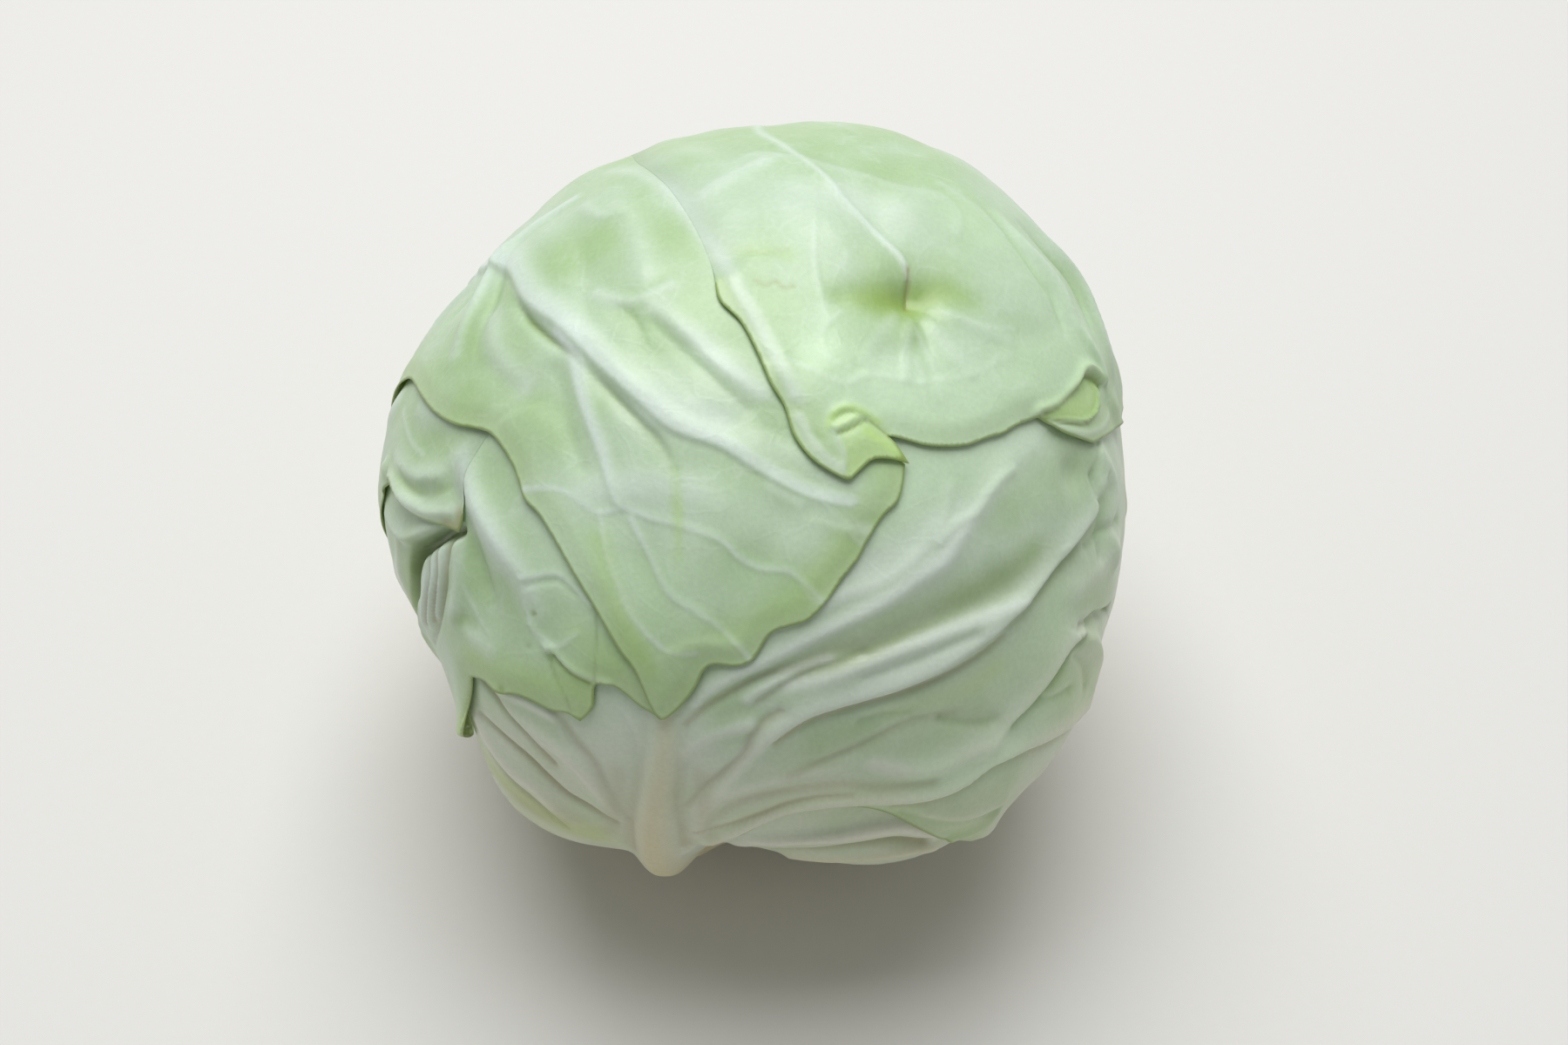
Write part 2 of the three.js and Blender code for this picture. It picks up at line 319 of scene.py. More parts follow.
class Stroke(Mark):
    """A vein, ridge, fold, groove or stain: a path with a rise and a width on each side of it.

    The power shapes its cross-section: 1 has a sharp crest, 2 is round and 4 has a flat top. Rises,
    widths and tints are one number, or several that are spread out along the path.
    """

    FADED = 4.6  # the power of e at which a hundredth is left

    def __init__(self, path, rise=0, left=2, right=None, power=2, spread=1, **tints):
        self.rise, self.left, self.power, self.spread = rise, left, power, spread
        self.right = left if right is None else right
        widest = max(np.max(self.left), np.max(self.right))
        reach = self.FADED ** (1 / min(power, 2)) * widest * max(spread, 1)
        super().__init__(curve(path, step=0.8), reach, tints)

    def effect(self, directions):
        left, past, along = follow(self.path, directions)

        def at(values):
            values = np.atleast_1d(values)
            return np.interp(along, np.linspace(0, 1, len(values)), values)

        width = np.where(left > 0, at(self.left), at(self.right))
        distance = np.hypot(left, past)
        rounded = np.sqrt(distance**2 + CREST_RADIUS**2) - CREST_RADIUS
        rise = at(self.rise) * np.exp(-((rounded / width) ** self.power))
        fade = gauss(distance, width * self.spread)
        return rise, {tint: at(strength) * fade for tint, strength in self.tints.items()}


class Patch(Mark):
    """A flap: a closed outline with a rise inside it that fades over its softness."""

    def __init__(self, *points, rise, softness, **tints):
        self.rise, self.softness = rise, softness
        super().__init__(curve(front(*points), step=0.4, closed=True), 3 * softness, tints)

    def effect(self, directions):
        inside = within(FRONT.points(directions), FRONT.points(self.path))
        nearest = (directions @ self.path.T).max(axis=1)
        distance = MAP_RADIUS * np.arccos(np.clip(nearest, -1, 1))
        share = smooth(-self.softness, self.softness, np.where(inside, distance, -distance))
        return self.rise * share, {tint: strength * share for tint, strength in self.tints.items()}


def stroke(*points, **options):
    """A stroke on the front map. Without a rise it only tints."""
    return Stroke(front(*points), **options)


def vein(*points, rise=0.35, left=1.2, right=None, pale=0.55, **options):
    """Veins are given as they look from far away; from near they are half as wide."""
    left, right = (None if w is None else 0.5 * np.maximum(w, 1.1) for w in (left, right))
    return stroke(*points, rise=0.45 * np.array(rise), left=left, right=right, pale=pale, **options)


def fold(*points, rise=1, left=2.5, power=1.5, **options):
    return stroke(*points, rise=rise, left=left, power=power, **options)


def groove(*points, depth=0.6, left=0.8, power=1.3, **options):
    return stroke(*points, rise=-np.array(depth), left=left, power=power, **options)


def dent(place, depth, radius, **tints):
    """A round hollow on the front map."""
    point = front(place)[0]
    ends = np.stack([point, unit(point + 0.002 * FRONT.right)])
    return Stroke(ends, rise=-depth, left=radius, **tints)


def side_veins(rib, count, reach, seed, end=0.9):
    """Veins that leave a midrib on both sides and bend towards its tip."""
    start, lean, rise = 0.12, 50, 0.22
    draw = np.random.default_rng(seed)
    path = curve(rib, step=1.0)
    tangents = unit(np.gradient(path, axis=0))
    made = []
    for k in range(count):
        share = start + (end - start) * (k + draw.uniform(0, 0.5)) / count
        index = int(share * (len(path) - 1))
        for side in (-1, 1):
            heading = tangents[index]
            across = side * np.cross(path[index], heading)
            angle = np.radians(lean + draw.uniform(-8, 8))
            ahead = np.cos(angle) * heading + np.sin(angle) * across
            total = reach * (1 - 0.55 * share) * draw.uniform(0.8, 1.1)
            steps = max(4, int(total / 6))
            points = [path[index]]
            for _ in range(steps):
                ahead = ahead + 0.1 * heading + 0.05 * draw.uniform(-1, 1) * across
                ahead = ahead - (ahead @ points[-1]) * points[-1]
                ahead = ahead / np.linalg.norm(ahead)
                points.append(unit(points[-1] + ahead * total / steps / MAP_RADIUS))
            made.append(Stroke(points, rise=(rise, rise, 0), left=(1.7, 1.1, 0.7), pale=(0.7, 0)))
    return made


# ---------------------------------------------------------------- the leaves


class Leaf:
    """One wrapper leaf: its outline, its own map, and its layers as grids over that map."""

    def __init__(self, name, chart, outline, marks, slot, flush=None):
        self.name = name
        self.slot = slot
        self.marks = marks
        self.chart = Chart(*chart)
        self.outline = frayed(curve(outline, closed=True))
        self.flush = None if flush is None else curve(flush, step=0.8)
        loop = self.chart.points(self.outline)
        self.low = loop.min(axis=0) - GRID_BORDER
        size = np.ceil((loop.max(axis=0) + GRID_BORDER - self.low) / GRID_STEP).astype(int) + 1
        self.shape = (size[1], size[0])
        row, column = np.indices(self.shape)
        nodes = columns(column, row).reshape(-1, 2) * GRID_STEP + self.low
        self.nodes = self.chart.directions(nodes)
        self.margin = self.grid(self.margin_distance(self.nodes, nodes))

    def grid(self, values):
        return np.asarray(values, float).reshape(self.shape)

    def margin_distance(self, directions, points):
        """Millimetres in from the margin, negative off the leaf."""
        count = len(self.outline)
        nearest = nearest_point(self.outline, directions)
        chord = np.full(len(directions), np.inf)
        for start in (nearest, (nearest - 1) % count):
            first = self.outline[start]
            edge = self.outline[(start + 1) % count] - first
            offset = directions - first
            share = (offset * edge).sum(axis=1) / (edge * edge).sum(axis=1)
            chord = np.minimum(chord, length(offset - np.clip(share, 0, 1)[:, None] * edge))
        inside = within(points, self.chart.points(self.outline))
        return MAP_RADIUS * np.where(inside, chord, -chord)

    def sample(self, grid, directions, outside=None):
        """A grid's value at any direction, and outside where the grid doesn't reach."""
        place = (self.chart.points(directions) - self.low) / GRID_STEP
        limit = np.array([self.shape[1], self.shape[0]]) - 1.001
        reached = ((place >= 0) & (place <= limit)).all(axis=1)
        place = np.clip(place, 0, limit)
        cell = place.astype(int)
        x, y = cell.T
        fx, fy = (place - cell).T
        low = grid[y, x] * (1 - fx) + grid[y, x + 1] * fx
        high = grid[y + 1, x] * (1 - fx) + grid[y + 1, x + 1] * fx
        value = low * (1 - fy) + high * fy
        return value if outside is None else np.where(reached, value, outside)

    def flushness(self, directions):
        """1 where the margin lies level with the leaf below, fading over a few millimetres."""
        if self.flush is None:
            return np.zeros(len(directions))
        left, past, _ = follow(self.flush, directions)
        return smooth(FLUSH_REACH, 0, past) * smooth(*FLUSH_SIDES, np.abs(left))

    def margin_at(self, directions):
        return self.sample(self.margin, directions, OFF_LEAF)

    def covers(self):
        return LEAVES[LEAVES.index(self) + 1 :]

    def lower(self):
        return LEAVES[: LEAVES.index(self)]


def to_plane(directions, height):
    """Distance from the middle of the head down to a level plane."""
    return (HEAD_MIDDLE - height) / np.maximum(-directions[:, 2], SLOPE)


def head_radius(directions):
    """The smooth outside of the whole head."""
    across = np.hypot(directions[:, 0], directions[:, 1]) / HALF_WIDTH
    radius = 1 / np.hypot(across, directions[:, 2] / HALF_HEIGHT)
    for turn, down, rise, spread in SWELLINGS:
        angle = np.arccos(np.clip(directions @ globe((turn, down))[0], -1, 1)) / np.radians(spread)
        radius = radius + rise * np.exp(-angle * angle / 2)
    flat = to_plane(directions, UNDERSIDE_HEIGHT)
    soft = UNDERSIDE_SOFTNESS
    return -soft * np.logaddexp(-radius / soft, -flat / soft)


def heart_radius(directions):
    """The heart is drawn in where leaves cover it, so the outside stays round."""
    radius = head_radius(directions)
    for leaf in LEAVES:
        cover = smooth(-COVER_SOFTNESS, COVER_SOFTNESS, leaf.margin_at(directions))
        radius = radius - LAYER * cover
    return radius


def thickness_at(margin, flushness):
    thin = MARGIN_THICKNESS * (1 - 0.93 * flushness)
    share = smooth(0, 1, margin / (THICKENING + (FLUSH_TAPER - THICKENING) * flushness))
    return thin + (LEAF_THICKNESS - thin) * share


def own_relief(leaf, directions):
    """Relief and tints of a leaf by itself."""
    relief = LUMP_RISE * noise(directions, BROAD_LUMP, seed=1)
    relief += 0.35 * LUMP_RISE * noise(directions, LUMP, seed=2)
    relief += 0.1 * noise(directions, FINE_LUMP, seed=3)
    colours = {tint: np.zeros(len(directions)) for tint in TINTS}
    for mark in leaf.marks:
        mark.add(directions, relief, colours)
    return relief, colours


def levelled(margin, flushness):
    """1 on a margin that lies level with the leaf below, fading inwards."""
    return flushness * (1 - smooth(0, FLUSH_TAPER, margin))


def pressed_relief(leaf, directions, relief, margin, flushness):
    """Ridges of the leaves below show through near the leaf's margin."""
    near_margin = 1 - smooth(*PRESS_MARGIN, margin)
    level = levelled(margin, flushness)
    for lower in leaf.lower():
        there = smooth(*LEAF_BORDER, lower.margin_at(directions)) * near_margin
        pushed = lower.sample(lower.pressed, directions) * there
        soft = PRESS_SOFTNESS * np.logaddexp(0, (pushed - relief) / PRESS_SOFTNESS)
        relief = relief + soft * there * (1 - level)
        relief = relief + (pushed - relief) * there * level
    return relief


def under_covers(directions, relief, covers):
    """No leaf stands higher than the leaves that cover it."""
    for upper in covers:
        covered = upper.margin_at(directions) > -0.4
        ceiling = upper.sample(upper.settled, directions)
        relief = np.where(covered, np.minimum(relief, ceiling), relief)
    return relief


def cover_depth(leaf, directions):
    """How far inside the margin of a covering leaf a place lies."""
    depth = np.full(len(directions), OFF_LEAF)
    for upper in leaf.covers():
        depth = np.maximum(depth, upper.margin_at(directions))
    return depth


def spread_out(values, reach):
    """The highest value within a reach, on a grid."""
    cells = int(round(reach / GRID_STEP))
    padded = np.pad(values, cells, mode="edge")
    height, width = values.shape
    highest = values
    for dy, dx in np.ndindex(2 * cells + 1, 2 * cells + 1):
        if (dy - cells) ** 2 + (dx - cells) ** 2 <= cells * cells + 1:
            highest = np.maximum(highest, padded[dy : dy + height, dx : dx + width])
    return highest


def blurred(values, width):
    cells = int(np.ceil(3 * width / GRID_STEP))
    weights = gauss(np.arange(-cells, cells + 1) * GRID_STEP, width * 2**0.5)
    weights /= weights.sum()
    for _ in range(2):
        values = values.T
        padded = np.pad(values, [(0, 0), (cells, cells)], mode="edge")
        count = values.shape[1]
        values = sum(weight * padded[:, k : k + count] for k, weight in enumerate(weights))
    return values


def stack_leaves():
    """Lays the leaves on one after the other and settles their relief from the top down."""
    for leaf in LEAVES:
        below = heart_radius(leaf.nodes)
        for lower in leaf.lower():
            there = lower.margin_at(leaf.nodes) > -0.3
            below = np.where(there, np.maximum(below, lower.sample(lower.top, leaf.nodes)), below)
        draped = blurred(spread_out(leaf.grid(below), DRAPE_REACH), DRAPE_BLUR)
        flushness = leaf.flushness(leaf.nodes)
        level = levelled(leaf.margin, leaf.grid(flushness))
        leaf.bottom = draped + (leaf.grid(below) - draped) * level + LEAF_GAP * (1 - 0.8 * level)
        leaf.top = leaf.bottom + thickness_at(leaf.margin, leaf.grid(flushness))
        relief, _ = own_relief(leaf, leaf.nodes)
        margin = leaf.margin.ravel()
        leaf.pressed = leaf.grid(pressed_relief(leaf, leaf.nodes, relief, margin, flushness))
    for leaf in reversed(LEAVES):
        settled = leaf.grid(under_covers(leaf.nodes, leaf.pressed.ravel(), leaf.covers()))
        # Hidden meshes are coarse, so under a leaf they keep below its deepest grooves
        lowest = -spread_out(-settled, SETTLE_REACH)
        leaf.settled = np.where(leaf.margin > SETTLE_MARGIN, lowest, settled)


def match_tints(leaf, directions, colours, level):
    """Takes the tints of the leaf below where this one's margin lies level with it."""
    near = np.flatnonzero(level > 0)
    if len(near) == 0:
        return
    for lower in leaf.lower():
        share = level[near] * smooth(*LEAF_BORDER, lower.margin_at(directions[near]))
        _, shown = own_relief(lower, directions[near])
        for tint in TINTS:
            colours[tint][near] += (shown[tint] - colours[tint][near]) * share


def leaf_surface(leaf, directions, margin):
    """Inner and outer radius of a leaf, and its tints."""
    relief, colours = own_relief(leaf, directions)
    flushness = leaf.flushness(directions)
    match_tints(leaf, directions, colours, levelled(margin, flushness))
    relief = pressed_relief(leaf, directions, relief, margin, flushness)
    relief = under_covers(directions, relief, leaf.covers())
    bare = (1 - smooth(-3, 0.5, cover_depth(leaf, directions))) * (1 - flushness)
    ruffle = 0.65 + 0.35 * noise(directions, 9, seed=4)
    lift = MARGIN_LIFT * ruffle * np.exp(-np.maximum(margin, 0) / LIFT_REACH) * bare
    inner = leaf.sample(leaf.bottom, directions) + relief + lift
    outer = inner + thickness_at(margin, flushness)
    outer = np.minimum(outer, to_plane(directions, LOWEST_LEAF_HEIGHT))
    inner = np.minimum(inner, outer - THINNEST)
    colours["margin"] = np.clip(margin + 20 * flushness, 0, 30)
    return inner, outer, colours


# ---------------------------------------------------------------- meshes


def lattice(leaf, coarser):
    """Map points inside a leaf: dense in view, and coarser on its far side and where covered."""
    loop = leaf.chart.points(leaf.outline)
    low, high = loop.min(axis=0), loop.max(axis=0)
    rise = FINE_STEP * 3**0.5 / 2
    size = int((high[1] - low[1]) / rise) + 2, int((high[0] - low[0]) / FINE_STEP) + 2
    row, column = (grid.ravel() for grid in np.indices(size))
    points = columns(low[0] + (column + 0.5 * (row % 2)) * FINE_STEP, low[1] + row * rise)
    # Each coarser lattice takes every second row and point of the one before it
    doubled = (row % 2 == 0) & ((column + row // 2) % 2 == 0)
    redoubled = (row % 4 == 0) & ((column + row // 2) % 4 == 0)
    spacing = 1 + doubled + 2 * redoubled
    directions = leaf.chart.directions(points)
    away = directions @ FRONT.axis < FAR_SIDE
    coarseness = np.where(cover_depth(leaf, directions) > DEEP_COVER, 2, away)
    wanted = 2 ** np.minimum(coarseness + coarser, 2)
    margin = leaf.margin_at(directions)
    return points[(margin > 0.5 * wanted * FINE_STEP) & (spacing >= wanted)]


def sheet_faces(loop, inner_points):
    """Triangles over a closed outline and the points inside it."""
    count = len(loop)
    points = [Vector(p) for p in np.concatenate([loop, inner_points]).tolist()]
    made = geometry.delaunay_2d_cdt(points, [], [list(range(count))], 1, 1e-6, False)
    if len(made[0]) != len(points):
        raise ValueError(f"outline crosses itself: {len(points)} became {len(made[0])}")
    triangles = np.array(made[2])
    # Bays of the outline are filled too: those triangles have all their corners on it
    unsure = np.flatnonzero((triangles < count).all(axis=1))
    outside = ~within(loop[triangles[unsure]].mean(axis=1), loop)
    return np.delete(triangles, unsure[outside], axis=0)


def ring_faces(above, below, count):
    """Triangles between two closed rows of vertices."""
    here = np.arange(count)
    following = (here + 1) % count
    first = columns(above + here, below + here, below + following)
    return [first, columns(above + here, below + following, above + following)]


def to_metres(directions, radius):
    return (directions * radius[:, None] + np.array([0, 0, HEAD_MIDDLE])) * MM


def new_object(name, vertices, faces, attributes):
    mesh = bpy.data.meshes.new(name)
    mesh.from_pydata(vertices.tolist(), [], faces.tolist())
    for key, values in attributes.items():
        layer = mesh.attributes.new(key, "FLOAT", "POINT")
        layer.data.foreach_set("value", np.asarray(values, np.float32))
    mesh.polygons.foreach_set("use_smooth", np.ones(len(faces), bool))
    mesh.update()
    made = bpy.data.objects.new(name, mesh)
    bpy.context.scene.collection.objects.link(made)
    return made


def build_leaf(leaf):
    """A closed sheet: an outer and an inner side, and a rounded rim between them."""
    loop = leaf.chart.points(leaf.outline)
    x, y = loop.T
    if np.sum(x * np.roll(y, -1) - y * np.roll(x, -1)) <= 0:
        loop = loop[::-1]
    count = len(loop)
    parts, faces, tints = [], [], []
    start = 0
    for is_inner in (False, True):
        inside = lattice(leaf, coarser=int(is_inner))
        points = np.concatenate([loop, inside])
        directions = leaf.chart.directions(points)
        margin = leaf.margin_at(directions)
        margin[:count] = 0
        inner, outer, colours = leaf_surface(leaf, directions, margin)
        triangles = sheet_faces(loop, inside)
        parts.append(to_metres(directions, inner if is_inner else outer))
        faces.append((triangles[:, ::-1] if is_inner else triangles) + start)
        colours["inside"] = np.full(len(points), float(is_inner))
        # How low a place lies. The material makes low places whiter, then warmer and brownish:
        # partly the foot's own cream, partly painted shade and warm bounce light
        colours["white"] = 0.5 * smooth(0.55, -0.68, directions[:, 2])
        tints.append(colours)
        start += len(points)
    first, second = parts[0][:count], parts[1][:count]
    outward = np.roll(first, -1, axis=0) - np.roll(first, 1, axis=0)
    outward = unit(np.cross(outward, unit(leaf.chart.directions(loop))))
    rounding = 0.3 * length(first - second)[:, None]
    inner_start = len(parts[0])
    parts.append((first + second) / 2 + outward * rounding)
    tints.append({key: (tints[0][key][:count] + tints[1][key][:count]) / 2 for key in tints[0]})
    faces += ring_faces(0, start, count) + ring_faces(start, inner_start, count)
    merged = {key: np.concatenate([t[key] for t in tints]) for key in tints[0]}
    made = new_object(leaf.name + "_look", np.concatenate(parts), np.concatenate(faces), merged)
    # Where the margin lies level its rim must not shade the outside
    ends = np.empty(2 * len(made.data.edges), int)
    made.data.edges.foreach_get("vertices", ends)
    level = np.zeros(len(merged["margin"]), bool)
    for row in (slice(0, count), slice(inner_start, inner_start + count)):
        level[row] = merged["margin"][row] > 4
    sharp = made.data.attributes.new("sharp_edge", "BOOLEAN", "EDGE")
    sharp.data.foreach_set("value", level[ends.reshape(-1, 2)].all(axis=1))
    return made


# ---------------------------------------------------------------- outlines and marks of each leaf


def run(*pieces):
    return np.concatenate(pieces)


REAR_RIB = globe((131, 168), (134, 120), (140, 80), (150, 45))
REAR_OUTLINE = globe((103, 167), (100, 140), (88, 105), (92, 60), (120, 22), (-150, 24), (-160, 60),
    (-175, 110), (168, 150), (160, 167))
REAR_RELIEF = [
    Stroke(REAR_RIB, rise=(3, 2, 1), left=(7, 4, 2.5), pale=0.9),
    *side_veins(REAR_RIB, 6, 60, seed=1),
]

FRONT_RIB = run(front((-18, -36), (-18.5, -46), (-20.2, -55), (-22.4, -64), (-24.8, -74.5),
    (-26, -84)), globe((-15.4, 113), (-15.6, 125), (-15.5, 145), (-15, 168)))
NUB = {"rise": (0.3, 0.9, 1.7, 3.4, 6.8, 5.2, 3.8, 3.2, 3),
    "left": (2, 2.7, 3.4, 4, 4.8, 6, 7, 8, 8)}

UNDER_RIB = globe((33, 168), (35, 135), (34, 105), (36, 80))
UNDER_OUTLINE = globe((62, 167), (70, 140), (82, 100), (78, 66), (40, 52), (5, 66), (-12, 96),
    (-8, 130), (4, 167))
UNDER_RELIEF = [
    Stroke(UNDER_RIB, rise=(3.5, 2.5, 1.2), left=(7, 4, 2.5), pale=0.9),
    Stroke(FRONT_RIB, power=2.4, **NUB),
    fold((-6, -88), (-0.5, -81), (8, -77), (16.9, -74.5), (25, -72.4), (31, -72.4), (40, -76.6),
        rise=(0.6, 1.4, 1.7, 1.5, 0.8), left=1.8, right=2.4, power=1.8, pale=1),
    groove((-8, -98), (0, -94), (8, -88.4), (14.8, -84.4), (22, -80.4), (30.4, -78), (38, -79.4),
        depth=(0.8, 1.6, 1.8, 1.4), left=1, right=1.4, brown=1, olive=0.15),
    fold((8, -95), (16, -90.5), (22.7, -86.6), (32.5, -82.6), (41.5, -82.4), rise=1.2, left=1.8,
        cream=0.5, pale=0.5),
    groove((10, -99), (22, -91), (34, -87), depth=0.9, left=1, brown=0.8),
    *side_veins(UNDER_RIB, 5, 45, seed=2),
]

RIGHT_RIB = globe((85, 168), (86, 130), (88, 95), (86, 60))
RIGHT_OUTLINE = globe((116, 167), (126, 140), (142, 95), (136, 46), (90, 20), (50, 38), (41, 80),
    (46, 118), (54, 167))
RIGHT_RELIEF = [
    Stroke(RIGHT_RIB, rise=(3, 2.2, 1.2), left=(7, 4, 2.5), pale=0.9),
    *side_veins(RIGHT_RIB, 6, 60, seed=3),
]

